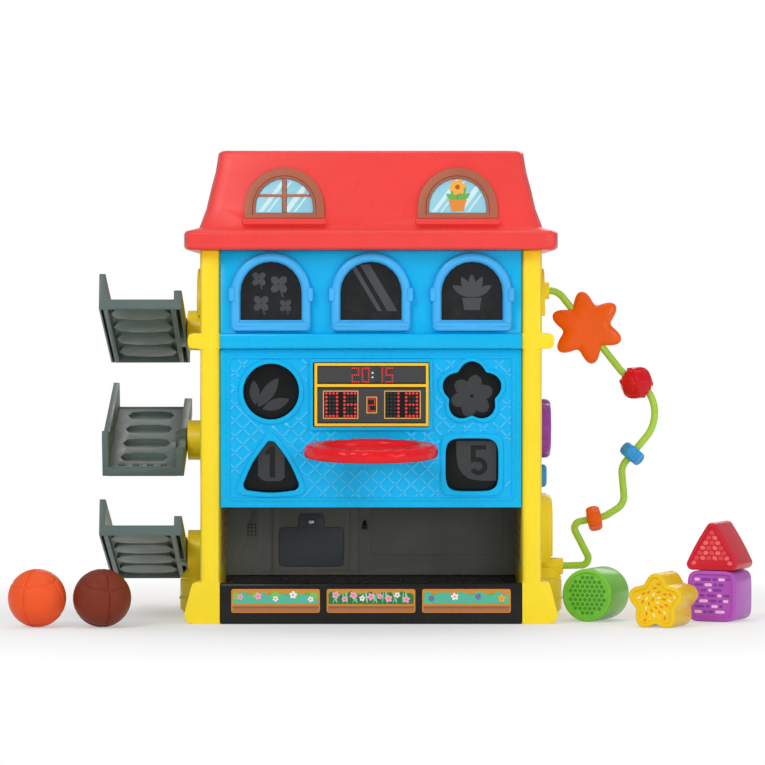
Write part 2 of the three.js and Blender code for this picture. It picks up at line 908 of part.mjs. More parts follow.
function electronicsHousing() {
  const half = panelHalfWidth - fit;
  const floor = trayRearFloor + fit;
  const outline = new THREE.Shape();
  outline.moveTo(housingFront, floor);
  outline.lineTo(housingBack, floor);
  outline.lineTo(housingBack, housingTopRear);
  outline.lineTo(housingFront, housingTopFront);
  outline.closePath();
  const hollow = new THREE.Shape();
  hollow.moveTo(housingInner, floor + housingWall);
  hollow.lineTo(housingBack + overrun, floor + housingWall);
  hollow.lineTo(housingBack + overrun, housingTopRear - housingWall);
  hollow.lineTo(housingInner, housingTopFront - housingWall);
  hollow.closePath();
  let body = prism('x', outline, -half, half)
    .subtract(prism('x', hollow, -half + housingWall, half - housingWall));

  const [outerXs, outerZs] = compartmentLimits(compartmentWall);
  const [innerXs, innerZs] = compartmentLimits(0);
  const depthEnd = housingInner + compartmentDepth;
  const box = block(outerXs, [housingInner - housingWall / 2, depthEnd + compartmentWall], outerZs);
  const screwBoss = rod(
    'y', bossRadius, housingInner - housingWall / 2, housingInner + screwLength, [doorMiddle, 0, screwZ]);
  const signOutline = rectangle(signLeft, signLeft + signWidth, signBottom, signTop, doorRound);
  const sign = prism('y', signOutline, housingFront - signRise, housingFront + signRise);
  const pegs = [0, 1].map((i) => rod(
    'y', bossRadius, housingInner - housingWall / 2, housingFront + boardOffset - fit,
    [boardLeft + boardWidth * (i + 1 / 2) / 2, 0, boardBottom + boardHeight / 2]));
  body = joined([body, box, screwBoss, sign, ...pegs]);

  const tools = [
    block(innerXs, [housingFront - overrun, depthEnd], innerZs),
    doorSolid(fit, housingFront - overrun, housingFront + doorThickness / 2 + fit),
    rod('y', screwShank + fit, housingFront, housingInner + screwLength + overrun, [doorMiddle, 0, screwZ]),
  ];
  for (const x of bandXs) {
    tools.push(prism(
      'y', rectangle(
        x - bandWidth / 2, x + bandWidth / 2, floor + housingWall, housingTopFront - housingWall, bandDepth),
      housingFront - overrun, housingFront + bandDepth));
  }
  for (let column = 0; column < grilleColumns; column += 1) {
    for (let row = 0; row < grilleRows; row += 1) {
      const x = speakerX + (column - (grilleColumns - 1) / 2) * grillePitch;
      const z = speakerZ + (row - (grilleRows - 1) / 2) * grillePitch;
      tools.push(
        rod('y', grilleHole, housingFront - overrun, housingInner + overrun, [x, 0, z], pinSteps / 2));
    }
  }
  tools.push(prism(
    'y', centredRectangle(switchX, switchZ, switchWidth, switchHeight, switchRecess),
    housingFront - overrun, housingFront + switchRecess));
  tools.push(block(
    [switchX - switchStem / 2 - fit, switchX + switchStem / 2 + fit],
      [housingFront, housingInner + overrun],
    [switchZ - (switchTravel + switchStem) / 2 - fit, switchZ + (switchTravel + switchStem) / 2 + fit]));
  return cut(body, tools);
}

// Knob, stem and rear flange of the switch, at the low end of its travel
function powerSwitch() {
  const z = switchZ - switchTravel / 2;
  const half = switchKnob / 2;
  const stem = switchStem / 2;
  const knobBack = housingFront + switchRecess - fit;
  const knob = block(
    [switchX - half, switchX + half], [housingFront - switchRecess, knobBack], [z - half, z + half]);
  const neck = block(
    [switchX - stem, switchX + stem],
      [housingFront, housingInner + switchRecess + fit], [z - stem, z + stem]);
  const flange = block(
    [switchX - half, switchX + half],
      [housingInner + fit, housingInner + fit + switchRecess], [z - half, z + half]);
  return joined([knob, neck, flange]);
}

function batteryCell(i) {
  const [xs] = compartmentLimits(0);
  const middle = (xs[0] + xs[1]) / 2;
  const z = doorBottom + doorHeight / 2 + (i ? 1 : -1) * (cellRadius + fit / 2);
  const y = housingInner + cellRadius + fit;
  const towards = i ? 1 : -1;
  const can = cellLength - cellNubLength;
  const start = middle - towards * cellLength / 2;
  const body = rod('x', cellRadius, start, start + towards * can, [0, y, z]);
  const nub = rod(
    'x', cellNub, start + towards * (can - cellNubLength), start + towards * cellLength, [0, y, z]);
  return body.add(nub);
}

function batteryContact(side) {
  const [xs, zs] = compartmentLimits(0);
  const wall = side < 0 ? xs[0] : xs[1];
  const near = wall - side * fit;
  return block(
    [near, near - side * contactThickness],
    [housingInner + fit, housingInner + compartmentDepth - fit], [zs[0] + looseFit, zs[1] - looseFit]);
}

function circuitBoard() {
  const start = housingFront + boardOffset;
  return block(
    [boardLeft, boardLeft + boardWidth],
      [start, start + boardThickness], [boardBottom, boardBottom + boardHeight]);
}

function speaker() {
  const profile = [[0, 0], [speakerRadius, 0], [speakerRadius, speakerDepth / 3]];
  const magnet = speakerRadius * magnetShare;
  profile.push([magnet, speakerDepth * magnetStartShare], [magnet, speakerDepth], [0, speakerDepth]);
  const geometry = new THREE.LatheGeometry(profile.map(([r, h]) => new THREE.Vector2(r, h)), ringSteps);
  geometry.translate(0, housingInner + fit, 0);
  return solid(placed(geometry, 'z', speakerX, 0, speakerZ));
}

// Upper front panel with its windows

function upperFrontPanel() {
  const plate = block([-panelHalf, panelHalf], [panelFront, panelBack], [ledgeBottom, eaveBottom - fit]);
  const nose = prism('x', rectangle(
    -houseHalfDepth - ledgeNose / 2, panelBack, ledgeBottom, ledgeTop, ledgeNose / 2), -panelHalf,
    panelHalf);
  const openings = windowXs.map((x) => prism(
    'y', arch(x, windowBottom - frameBand / 4 - fit, windowWidth + frameBand / 2 + 2 * fit,
    windowHeight + frameBand / 2 + 2 * fit),
    panelFront - overrun, panelBack + overrun));
  return cut(plate.add(nose), openings);
}

// Arched frame: a band in front of the panel, a collar through it, a sill and two side clips
function windowFrame(x) {
  const outerWidth = windowWidth + 2 * frameBand;
  const front = panelFront - fit;
  const sillTop = windowBottom - sillDrop;
  const band = prism(
    'y', arch(x, sillTop, outerWidth, windowHeight + frameBand + sillDrop), front - frameRise, front);
  const collar = prism(
    'y', arch(x, windowBottom - frameBand / 4, windowWidth + frameBand / 2, windowHeight + frameBand / 2),
    front, panelBack);
  const sill = block(
    [x - sillWidth / 2, x + sillWidth / 2], [front - sillRise, front], [sillTop - sillHeight, sillTop]);
  const clips = [-1, 1].map((side) => block(
    [x + side * (outerWidth / 2 - clipWidth / 2), x + side * (outerWidth / 2 + clipWidth / 2)],
    [front - frameRise - clipWidth / 4, front],
      [windowBottom + clipRise, windowBottom + clipRise + clipHeight]));
  const opening = prism(
    'y', arch(x, windowBottom, windowWidth, windowHeight), front - sillRise - overrun, panelBack + overrun);
  return joined([band, collar, sill, ...clips]).subtract(opening);
}

function windowLens(x) {
  const front = panelBack + fit;
  const shape = arch(x, windowBottom - lensLap, windowWidth + 2 * lensLap, windowHeight + 2 * lensLap);
  return prism('y', shape, front, front + lensThickness);
}

// Lower front panel with the shape sorter

function sorterOutlines(margin) {
  return [
    circle(sorterLeft, sorterHigh, roundHole + margin),
    lobed(sorterRight, sorterHigh, starHole + margin, starValleyShare, 5),
    roundedTriangle(
      sorterLeft, sorterLow - triangleDrop - margin,
      triangleHole + triangleWidening * margin, triangleRise + triangleLift * margin, 2 * holeRound),
    centredRectangle(
      sorterRight, sorterLow, squareHole + 2 * margin, squareHole + 2 * margin, holeRound + margin),
  ];
}

const flapPlaces = [
  ['flap_circle', sorterLeft, flapHighTop, flapHighHeight],
  ['flap_star', sorterRight, flapHighTop, flapHighHeight],
  ['flap_triangle', sorterLeft, flapLowTop, flapLowHeight],
  ['flap_square', sorterRight, flapLowTop, flapLowHeight],
];

// Two ears on the back of the panel that carry a flap's pins
function flapEars([, x, z]) {
  const axisY = panelBack + flapAxisOffset;
  const reach = flapBarrel + flapPin;
  const start = flapWidth / 2 + fit;
  const ears = [-1, 1].map((side) => block(
    [x + side * start, x + side * (start + flapEar)], [panelFront, axisY + reach], [z - reach, z + reach]));
  const bore = rod(
    'x', flapPin + fit, x - start - flapEar - overrun, x + start + flapEar + overrun, [0, axisY, z]);
  return { ears, bore };
}

function lowerFrontPanel() {
  const bottom = trayTop;
  const top = ledgeBottom - fit;
  const plate = block([-panelHalf, panelHalf], [panelFront, panelBack], [bottom, top]);
  const lip = block(
    [-panelHalf, panelHalf], [panelFront, panelBack + lowerLip], [bottom, bottom + borderBand]);
  const rims = sorterOutlines(rimBand)
    .map((shape) => prism('y', shape, panelFront - rimRise, panelFront + rimRise));
  const outer = rectangle(
    -panelHalf + borderInset, panelHalf - borderInset, bottom + borderInset, top - borderInset, holeRound);
  outer.holes.push(rectangle(
    -panelHalf + borderInset + borderBand, panelHalf - borderInset - borderBand,
    bottom + borderInset + borderBand, top - borderInset - borderBand, holeRound - borderBand));
  const border = prism('y', outer, panelFront - borderRise, panelFront + borderRise);
  const scoreMargin = scoreBand + fit;
  const scoreOuter = rectangle(
    -boardHalf - scoreMargin, boardHalf + scoreMargin, scoreBottom - scoreMargin, scoreTop + scoreMargin,
    scoreBand);
  scoreOuter.holes.push(rectangle(
    -boardHalf - fit, boardHalf + fit, scoreBottom - fit, scoreTop + fit, scoreBand / 2));
  const scoreFrame = prism('y', scoreOuter, panelFront - scoreRise, panelFront + scoreRise);
  const carried = flapPlaces.map(flapEars);
  const body = joined([plate, lip, ...rims, border, scoreFrame, ...carried.flatMap(({ ears }) => ears)]);
  const tools = sorterOutlines(0)
    .map((shape) => prism('y', shape, panelFront - rimRise - overrun, panelBack + overrun));
  const slotMiddle = hoopTop - hoopHeight / 2;
  tools.push(block(
    [-tongueHalf - fit, tongueHalf + fit], [panelFront - overrun, panelBack + overrun],
    [slotMiddle - tongueHeight / 2 - fit, slotMiddle + tongueHeight / 2 + fit]));
  tools.push(...carried.map(({ bore }) => bore));
  return cut(body, tools);
}

function scoreboardPlate() {
  const front = panelFront - fit;
  const outline = rectangle(-boardHalf, boardHalf, scoreBottom, scoreTop, scoreBand / 2);
  return prism('y', outline, front - scoreThickness, front);
}

// A flap about its own hinge line: plate below, barrel and two end pins along X
function flap(height) {
  const half = flapWidth / 2;
  const front = -flapAxisOffset + fit + fit;
  const plate = block([-half, half], [front, front + flapThickness], [-height, flapBarrel / 2]);
  const barrel = rod('x', flapBarrel, -half, half, [0, 0, 0]);
  const pins = rod('x', flapPin, -half - flapPinLength, half + flapPinLength, [0, 0, 0]);
  return joined([plate, barrel, pins]);
}

// Hoop about its own middle, at the height of its upper edge

function hoop() {
  const profile = [
    [hoopInner, -hoopRound],
    [hoopInner + hoopRound, 0],
    [hoopOuter - hoopRound, 0],
    [hoopOuter, -hoopRound],
    [hoopOuter, -hoopHeight + 2 * hoopRound],
    [hoopOuter - hoopRound, -hoopHeight + hoopRound],
    [hoopInner + hoopRound, -hoopHeight],
    [hoopInner, -hoopHeight + hoopRound],
    [hoopInner, -hoopRound],
  ];
  const ring = turned(profile, 'z', [0, 0, 0], ringSteps * 3 / 2);
  const middle = (hoopInner + hoopOuter) / 2;
  const dimples = [];
  for (let i = 0; i < hoopScallops; i += 1) {
    const turn = ((i + 1 / 2) / hoopScallops) * 2 * Math.PI;
    dimples.push(rod(
      'z', scallopRadius, -scallopRadius / 3, overrun,
      [middle * Math.cos(turn), middle * Math.sin(turn), 0], pinSteps / 2));
  }
  return cut(ring, dimples);
}

function hoopBracket() {
  const front = panelFront - hoopRound - hoopOuter + middleOfHoopRim();
  const slotMiddle = hoopTop - hoopHeight / 2;
  const plate = block(
    [-bracketHalf, bracketHalf], [front, panelFront - fit],
    [slotMiddle - bracketHeight / 2, slotMiddle + bracketHeight / 2]);
  const tongue = block(
    [-tongueHalf, tongueHalf], [panelFront - looseFit, panelFront + tongueLength],
    [slotMiddle - tongueHeight / 2, slotMiddle + tongueHeight / 2]);
  return plate.add(tongue);
}

function middleOfHoopRim() {
  return (hoopOuter + hoopInner) / 2;
}

function wholeHoop() {
  const geometry = geometryOf(hoop());
  geometry.rotateX(hoopTiltDegrees * degrees);
  geometry.translate(
    0, panelFront - hoopRound - hoopOuter, hoopTop - hoopOuter * Math.sin(hoopTiltDegrees * degrees));
  return solid(geometry).add(hoopBracket());
}

// Roof: a mansard shell lofted through rounded rectangles

function roofLevels(growth) {
  const g = growth;
  return [
    [eaveBottom, eaveReachX - eaveRound + g, eaveReachY - eaveRound + g],
    [eaveBottom + eaveRound, eaveReachX + g, eaveReachY + g],
    [eaveBottom + eaveHeight - eaveRound, eaveReachX + g, eaveReachY + g],
    [eaveBottom + eaveHeight, eaveReachX - eaveRound + g, eaveReachY - eaveRound + g],
    [roofFoot, roofFootX + g, roofFootY + g],
    [(roofFoot + roofWaist) / 2,
      roofWaistX + (roofFootX - roofWaistX) * roofSagShare + g,
      roofWaistY + (roofFootY - roofWaistY) * roofSagShare + g],
    [roofWaist, roofWaistX + g, roofWaistY + g],
    [(roofWaist + roofCrown) / 2,
      roofTopX + (roofWaistX - roofTopX) * roofSagShare + g,
      roofTopY + (roofWaistY - roofTopY) * roofSagShare + g],
    [roofCrown, roofTopX + g, roofTopY + g],
    [houseHeight, roofTopX - roofCrownInset + g, roofTopY - roofCrownInset + g],
  ];
}

function loft(levels, corner) {
  const rings = levels.map(([z, halfX, halfY]) => rectangle(-halfX, halfX, -halfY, halfY, corner)
    .extractPoints(roundSteps).shape.slice(0, -1).map((point) => new THREE.Vector3(point.x, point.y, z)));
  const count = rings[0].length;
  const positions = rings.flat().flatMap((point) => [point.x, point.y, point.z]);
  const index = [];
  for (let level = 0; level + 1 < rings.length; level += 1) {
    for (let i = 0; i < count; i += 1) {
      const a = level * count + i;
      const b = level * count + (i + 1) % count;
      index.push(a, b, b + count, a, b + count, a + count);
    }
  }
  const top = (rings.length - 1) * count;
  for (let i = 1; i + 1 < count; i += 1) {
    index.push(0, i + 1, i);
    index.push(top, top + i, top + i + 1);
  }
  const geometry = new THREE.BufferGeometry();
  geometry.setAttribute('position', new THREE.Float32BufferAttribute(positions, 3));
  geometry.setIndex(index);
  return solid(geometry);
}

function roof() {
  const outer = loft(roofLevels(0), roofCorner);
  const innerLevels = roofLevels(-roofSkin).map(([z, x, y]) => [z - roofSkin, x, y]);
  innerLevels.splice(0, 2, [eaveBottom + roofSkin, eaveReachX - roofSkin, eaveReachY - roofSkin]);
  const inner = loft(innerLevels, roofCorner - roofSkin);
  const mouthX = panelHalfWidth - columnRound;
  const mouthY = houseHalfDepth - columnDepth;
  const mouth = prism(
    'z', rectangle(-mouthX, mouthX, -mouthY, mouthY, columnRound), eaveBottom - overrun,
    eaveBottom + roofSkin + overrun);
  const sills = [-1, 1].map((side) => prism(
    'y', rectangle(
      side * roofWindowX - roofSillWidth / 2, side * roofWindowX + roofSillWidth / 2,
      roofWindowBottom - fit - roofSillHeight, roofWindowBottom - fit, eaveRound),
    -roofFootY - roofSillReach, -roofWaistY));
  const body = cut(outer, [inner, mouth]);
  return joined([body, ...sills.map((sill) => sill.subtract(inner))]);
}

// A layer that lies on the roof's front slope inside an outline, between two heights over it
function roofLayer(outline, low, high) {
  const stock = prism('y', outline, -roofFootY - roofWindowRise - overrun, 0);
  return stock
    .intersect(loft(roofLevels(high), roofCorner + high))
    .subtract(loft(roofLevels(low), roofCorner + low));
}

function paneOutline(x, margin) {
  return arch(
    x, roofWindowBottom + roofWindowBand / 2 - margin, roofWindowWidth - 2 * roofWindowBand + 2 * margin,
    roofWindowHeight - 3 * roofWindowBand / 2 + 2 * margin);
}

function roofWindowFrame(x) {
  const outer = arch(x, roofWindowBottom, roofWindowWidth, roofWindowHeight);
  const frame = roofLayer(outer, fit, roofWindowRise);
  return frame.subtract(prism('y', paneOutline(x, fit), -roofFootY - eaveReachY, 0));
}

function roofWindowPane(x) {
  return roofLayer(paneOutline(x, 0), fit, paneRise);
}

// Back panel: ledge line, shallow field and wells over its screws

function backPanel() {
  const bottom = baseSkin + fit;
  const top = eaveBottom - fit;
  const front = shellBackInner;
  const back = shellBack;
  const plate = block([-panelHalf, panelHalf], [front, back], [bottom, top]);
  const nose = prism(
    'x', rectangle(front, houseHalfDepth, ledgeBottom, ledgeTop, ledgeNose / 3), -panelHalf, panelHalf);
  const fields = [[bottom, ledgeBottom], [ledgeTop, top]].map(([low, high]) => {
    const inset = 2 * borderInset;
    return prism(
      'y', rectangle(-panelHalf + inset, panelHalf - inset, low + inset, high - inset, holeRound),
      back - borderRise, back + overrun);
  });
  const wells = [];
  for (const x of [-panelHalf + borderInset, panelHalf - borderInset]) {
    for (const z of [bottom + 3 * borderInset, trayTop + 2 * borderInset, top - 2 * borderInset]) {
      wells.push(rod('y', bossRadius, back - panelThickness / 2, back + overrun, [x, 0, z]));
    }
  }
  return cut(plate.add(nose), [...fields, ...wells]);
}

// Ramp about its pivot; its high end lies toward -Y, or toward +Y when flip is -1

function rampSide(flip, rise, cheek, start, end) {
  const top = rampDeckTop + rise;
  const bottom = rampDeckTop - rampDepth;
  const shape = new THREE.Shape();
  shape.moveTo(flip * -rampHigh, bottom);
  shape.lineTo(flip * rampLow, bottom);
  shape.lineTo(flip * rampLow, rampDeckTop + cheek - rampLip / 2);
  shape.lineTo(flip * (rampLow - rampLip / 2), rampDeckTop + cheek);
  shape.lineTo(flip * (rampLow - rampCheekLength), rampDeckTop + cheek - rampLip);
  shape.lineTo(flip * (rampLow - rampCheekLength - rampLip), top);
  shape.lineTo(flip * (-rampHigh + rampLip / 2), top);
  shape.quadraticCurveTo(flip * -rampHigh, top, flip * -rampHigh, top - rampLip / 2);
  shape.closePath();
  return prism('x', shape, start, end);
}

function pocket(flip, i, length, width, low, high) {
  const y = flip * (-pocketFirst + i * pocketPitch);
  const outline = centredRectangle(
    -(rampInner + rampInnerWall + rampChannel / 2), y, length, width, width / 2 - weld);
  return prism('z', outline, low, high, pocketSteps);
}

function ramp(flip) {
  const innerFace = -(rampInner + rampInnerWall);
  const guardFace = innerFace - rampChannel;
  const guardOuter = guardFace - rampGuardWall;
  const deckBottom = rampDeckTop - rampDepth;
  const ends = [flip * -rampHigh, flip * rampLow];
  const deck = block(
    [innerFace + overrun, guardFace - overrun], ends, [rampDeckTop - rampDepth, rampDeckTop]);
  const under = block(
    [innerFace - rampSkirt, guardFace + rampSkirt],
    [flip * (-rampHigh + rampSkirt), flip * (rampLow - rampSkirt)],
    [deckBottom - overrun, rampDeckTop - rampDeckSkin]);
  const inner = rampSide(flip, rampInnerRise, rampInnerRise + rampLip, -rampInner, innerFace);
  const guard = rampSide(flip, rampGuardRise, rampCheekRise, guardFace, guardOuter);
  const ear = rod('x', earRadius, -rampInner, innerFace, [0, 0, 0], ringSteps);
  const lip = block([innerFace, guardFace],
    [flip * -rampHigh, flip * (-rampHigh + rampSkirt)], [deckBottom, rampDeckTop + rampFrontLip]);
  const pads = [];
  const hollows = [];
  for (let i = 0; i < pocketCount; i += 1) {
    const padWide = pocketWidth + 2 * pocketWall;
    const padLong = pocketLength + 2 * pocketWall;
    pads.push(pocket(
      flip, i, padLong, padWide, rampDeckTop - pocketDepth - pocketSkin, rampDeckTop - rampDeckSkin / 2));
    hollows.push(
      pocket(flip, i, pocketLength, pocketWidth, rampDeckTop - pocketDepth, rampDeckTop + overrun));
  }
  const drains = [];
  for (let i = 0; i < drainCount; i += 1) {
    const x = innerFace - rampChannel / 2 + (i - (drainCount - 1) / 2) * drainPitch;
    drains.push(block(
      [x - drainSize / 2, x + drainSize / 2], [flip * drainY, flip * (drainY + drainSize)],
      [deckBottom - overrun, rampDeckTop + overrun]));
  }
  const grooves = [
    [guardOuter + grooveSkin, guardFace - grooveSkin, rampSkirt - rampHigh, rampLow - rampSkirt, rampGuardRise],
    [innerFace + grooveSkin, -rampInner - grooveSkin, rampSkirt - rampHigh, -earRadius - rampSkirt, rampInnerRise],
    [innerFace + grooveSkin, -rampInner - grooveSkin, earRadius + rampSkirt, rampLow - rampSkirt, rampInnerRise],
  ].map(([left, right, start, end, rise]) => block(
    [left, right], [flip * start, flip * end], [deckBottom - overrun, rampDeckTop + rise - grooveRoof]));
  const bore = rod('x', pivotRadius + fit, -rampInner + overrun, innerFace - overrun, [0, 0, 0], ringSteps);
  const capRoom = rod(
    'x', capRadius + looseFit, innerFace, innerFace - capThickness - looseFit, [0, 0, 0], ringSteps);
  const shell = joined([cut(deck, [under]), ...pads, inner, guard, lip, ear]);
  return cut(shell, [...hollows, ...drains, ...grooves, bore, capRoom]);
}

// Cap with its shank, pushed into the ramp's pin
function rampCap() {
  const face = -(rampInner + rampInnerWall + fit);
  const head = rod('x', capRadius, face, face - capThickness, [0, 0, 0]);
  const shank = rod('x', capShank, face + capShankLength, face - capThickness / 2, [0, 0, 0]);
  return head.add(shank);
}

// Bead wire

class PlanarArc extends THREE.Curve {
  constructor(centre, from, sweep) {
    super();
    Object.assign(this, { centre, from, sweep });
  }

  getPoint(t, target = new THREE.Vector3()) {
    const spoke = this.from.clone().sub(this.centre);
    spoke.applyAxisAngle(new THREE.Vector3(0, 1, 0), this.sweep * t);
    return target.copy(this.centre).add(spoke);
  }
}

const wireCorners = wireCornerXShares.map((share, i) => new THREE.Vector3(
  wireRoot + share * wireReach, wireY, wireBottom + wireCornerZShares[i] * (wireTop - wireBottom)));

// The arc that rounds one corner: where it starts and ends, its centre and its signed sweep
function bendAt(i) {
  const corner = wireCorners[i];
  const before = wireCorners[i - 1].clone().sub(corner).normalize();
  const after = wireCorners[i + 1].clone().sub(corner).normalize();
  const opening = before.angleTo(after);
  const reach = wireBends[i] / Math.tan(opening / 2);
  const start = corner.clone().addScaledVector(before, reach);
  const end = corner.clone().addScaledVector(after, reach);
  const centreReach = wireBends[i] / Math.sin(opening / 2);
  const centre = corner.clone().addScaledVector(before.clone().add(after).normalize(), centreReach);
  const spin = start.clone().sub(centre).cross(end.clone().sub(centre)).y;
  return { start, end, centre, sweep: Math.sign(spin) * (Math.PI - opening) };
}

function wirePath() {
  const path = new THREE.CurvePath();
  let from = wireCorners[0];
  for (let i = 1; i + 1 < wireCorners.length; i += 1) {
    const bend = bendAt(i);
    path.add(new THREE.LineCurve3(from, bend.start));
    path.add(new PlanarArc(bend.centre, bend.start, bend.sweep));
    from = bend.end;
  }
  path.add(new THREE.LineCurve3(from, wireCorners[wireCorners.length - 1]));
  return path;
}

function beadWire() {
  const section = new THREE.Shape();
  for (let i = 0; i < wireSides; i += 1) {
    const turn = (i / wireSides) * 2 * Math.PI;
    const point = [wireRadius * Math.cos(turn), wireRadius * Math.sin(turn)];
    if (i === 0) {
      section.moveTo(...point);
    } else {
      section.lineTo(...point);
    }
  }
  section.closePath();
  return solid(new THREE.ExtrudeGeometry(section, { extrudePath: wirePath(), steps: wireSteps }));
}

// A point on the straight run between two bends, and the run's direction
function onRun(i, share) {
  const start = i === 0 ? wireCorners[0] : bendAt(i).end;
  const end = bendAt(i + 1).start;
  return { place: start.clone().lerp(end, share), towards: end.clone().sub(start).normalize() };
}

// Puffy star about its middle, its bore along its own Z and its flat along X
function starBead() {
  const around = starPoints * 6;
  const layers = beadSteps * 2;
  const positions = [];
  for (let layer = 1; layer < layers; layer += 1) {
    const lean = (layer / layers) * Math.PI;
    for (let i = 0; i < around; i += 1) {
      const turn = (i / around) * 2 * Math.PI;
      const swell = ((1 - Math.cos(starPoints * turn)) / 2) ** starSharpness;
      const reach = (starWaist + (starRadius - starWaist) * swell) * Math.sin(lean) ** starPuff;
      positions.push(reach * Math.sin(turn), -starThickness / 2 * Math.cos(lean), reach * Math.cos(turn));
    }
  }
  const front = positions.length / 3;
  positions.push(0, -starThickness / 2, 0, 0, starThickness / 2, 0);
  const index = [];
  for (let layer = 0; layer + 2 < layers; layer += 1) {
    for (let i = 0; i < around; i += 1) {
      const a = layer * around + i;
      const b = layer * around + (i + 1) % around;
      index.push(a, b, b + around, a, b + around, a + around);
    }
  }
  const last = (layers - 2) * around;
  for (let i = 0; i < around; i += 1) {
    index.push(front, (i + 1) % around, i);
    index.push(front + 1, last + i, last + (i + 1) % around);
  }
  const geometry = new THREE.BufferGeometry();
  geometry.setAttribute('position', new THREE.Float32BufferAttribute(positions, 3));
  geometry.setIndex(index);
  const bore = rod('z', wireRadius + beadFit, -starRadius - overrun, starRadius + overrun, [0, 0, 0]);
  return solid(geometry).subtract(bore);
}

// Ball about its middle with a wide bore along its own Z
function cageBead() {
  const geometry = new THREE.SphereGeometry(cageRadius, ringSteps, slices);
  const bore = rod('z', cageBore, -cageRadius - overrun, cageRadius + overrun, [0, 0, 0]);
  return solid(geometry).subtract(bore);
}

function smallBead() {
  const half = smallBeadWidth / 2;
  const profile = [[wireRadius + beadFit, -half], [smallBeadRadius - smallBeadRound, -half]];
  for (let i = 1; i < beadSteps; i += 1) {
    const turn = (i / beadSteps) * Math.PI - Math.PI / 2;
    profile.push(
      [smallBeadRadius - smallBeadRound + smallBeadRound * Math.cos(turn), half * Math.sin(turn)]);
  }
  profile.push(
    [smallBeadRadius - smallBeadRound, half], [wireRadius + beadFit, half], [wireRadius + beadFit, -half]);
  return turned(profile, 'z', [0, 0, 0], ringSteps * 3 / 4);
}

// Loose pieces

function block3d(outer, inner) {
  const body = prism('y', outer, -blockDepth / 2, blockDepth / 2);
  const recess = prism('y', inner, -blockDepth / 2 - overrun, -blockDepth / 2 + blockRecess);
  return body.subtract(recess);
}

function ball() {
  return solid(new THREE.SphereGeometry(ballRadius, ringSteps, slices));
}

function roundBlock() {
  return block3d(circle(0, 0, cylinderRadius), circle(0, 0, cylinderRadius - blockRim));
}

function squareBlockSolid() {
  const inside = squareBlock - 2 * blockRim;
  return block3d(
    centredRectangle(0, 0, squareBlock, squareBlock, blockRound),
    centredRectangle(0, 0, inside, inside, blockRound / 2));
}

function triangleBlockSolid() {
  const inner = roundedTriangle(
    0, blockRim, triangleBlock - triangleWidening * blockRim,
    triangleBlockRise - triangleLift * blockRim, blockRound);
  return block3d(roundedTriangle(0, 0, triangleBlock, triangleBlockRise, 2 * blockRound), inner);
}

function starBlockSolid() {
  return block3d(
    lobed(0, 0, starBlock, starValleyShare, 5), lobed(0, 0, starBlock - blockRim, starValleyShare, 5));
}

// The whole toy

const house = new THREE.Group();
house.name = 'activity_house';

function add(name, body, material, parent = house) {
  const mesh = new THREE.Mesh(geometryOf(body), material);
  mesh.name = name;
  parent.add(mesh);
  return mesh;
}

function group(x, y, z, parent = house) {
  const holder = new THREE.Group();
  holder.position.set(x, y, z);
  parent.add(holder);
  return holder;
}

add('base_tray', baseTray(), finishes.black);
add('left_side_wall', leftSideWall(), finishes.yellow);
add('right_side_wall', rightSideWall(), finishes.yellow);
add('back_panel', backPanel(), finishes.yellow);
add('upper_front_panel', upperFrontPanel(), finishes.blue);
add('lower_front_panel', lowerFrontPanel(), finishes.blue);
add('roof', roof(), finishes.red);
add('scoreboard_plate', scoreboardPlate(), finishes.sign);
add('hoop', wholeHoop(), finishes.hoopRed);

['left', 'middle', 'right'].forEach((side, i) => {
  add(`window_frame_${side}`, windowFrame(windowXs[i]), finishes.lightBlue);
  add(`window_lens_${side}`, windowLens(windowXs[i]), finishes.smoke);
  add(`planter_pad_${side}`, planterPad(i), finishes.wood);
});

[['left', -roofWindowX], ['right', roofWindowX]].forEach(([side, x]) => {
  add(`roof_window_frame_${side}`, roofWindowFrame(x), finishes.brown);
  add(`roof_window_pane_${side}`, roofWindowPane(x), finishes.pane);
});

add('electronics_housing', electronicsHousing(), finishes.black);
add('battery_door', batteryDoor(), finishes.black);
add('battery_door_screw', batteryDoorScrew(), finishes.steel);
add('battery_lower', batteryCell(0), finishes.cell);
add('battery_upper', batteryCell(1), finishes.cell);
add('battery_contact_left', batteryContact(-1), finishes.steel);
add('battery_contact_right', batteryContact(1), finishes.steel);
add('circuit_board', circuitBoard(), finishes.board);
add('speaker', speaker(), finishes.cell);
add('power_switch', powerSwitch(), finishes.black);

for (const [name, x, z, height] of flapPlaces) {
  add(name, flap(height), finishes.black).position.set(x, panelBack + flapAxisOffset, z);
}

[['top', 1], ['middle', -1], ['bottom', 1]].forEach(([level, flip], i) => {
  const pivot = group(0, 0, rampPivotZs[i]);
  add(`ramp_${level}`, ramp(flip), finishes.grey, pivot).rotation.x = -flip * rampSlopeDegrees * degrees;
  add(`ramp_cap_${level}`, rampCap(), finishes.yellow, pivot);
});

add('side_dial', sideDial(), finishes.purple);
add('side_plate', sidePlate(), finishes.beadBlue);
add('bead_wire', beadWire(), finishes.green);

function addBead(name, body, material, { place, towards }) {
  const bead = add(name, body, material);
  bead.position.copy(place);
  bead.quaternion.setFromUnitVectors(new THREE.Vector3(0, 0, 1), towards);
}

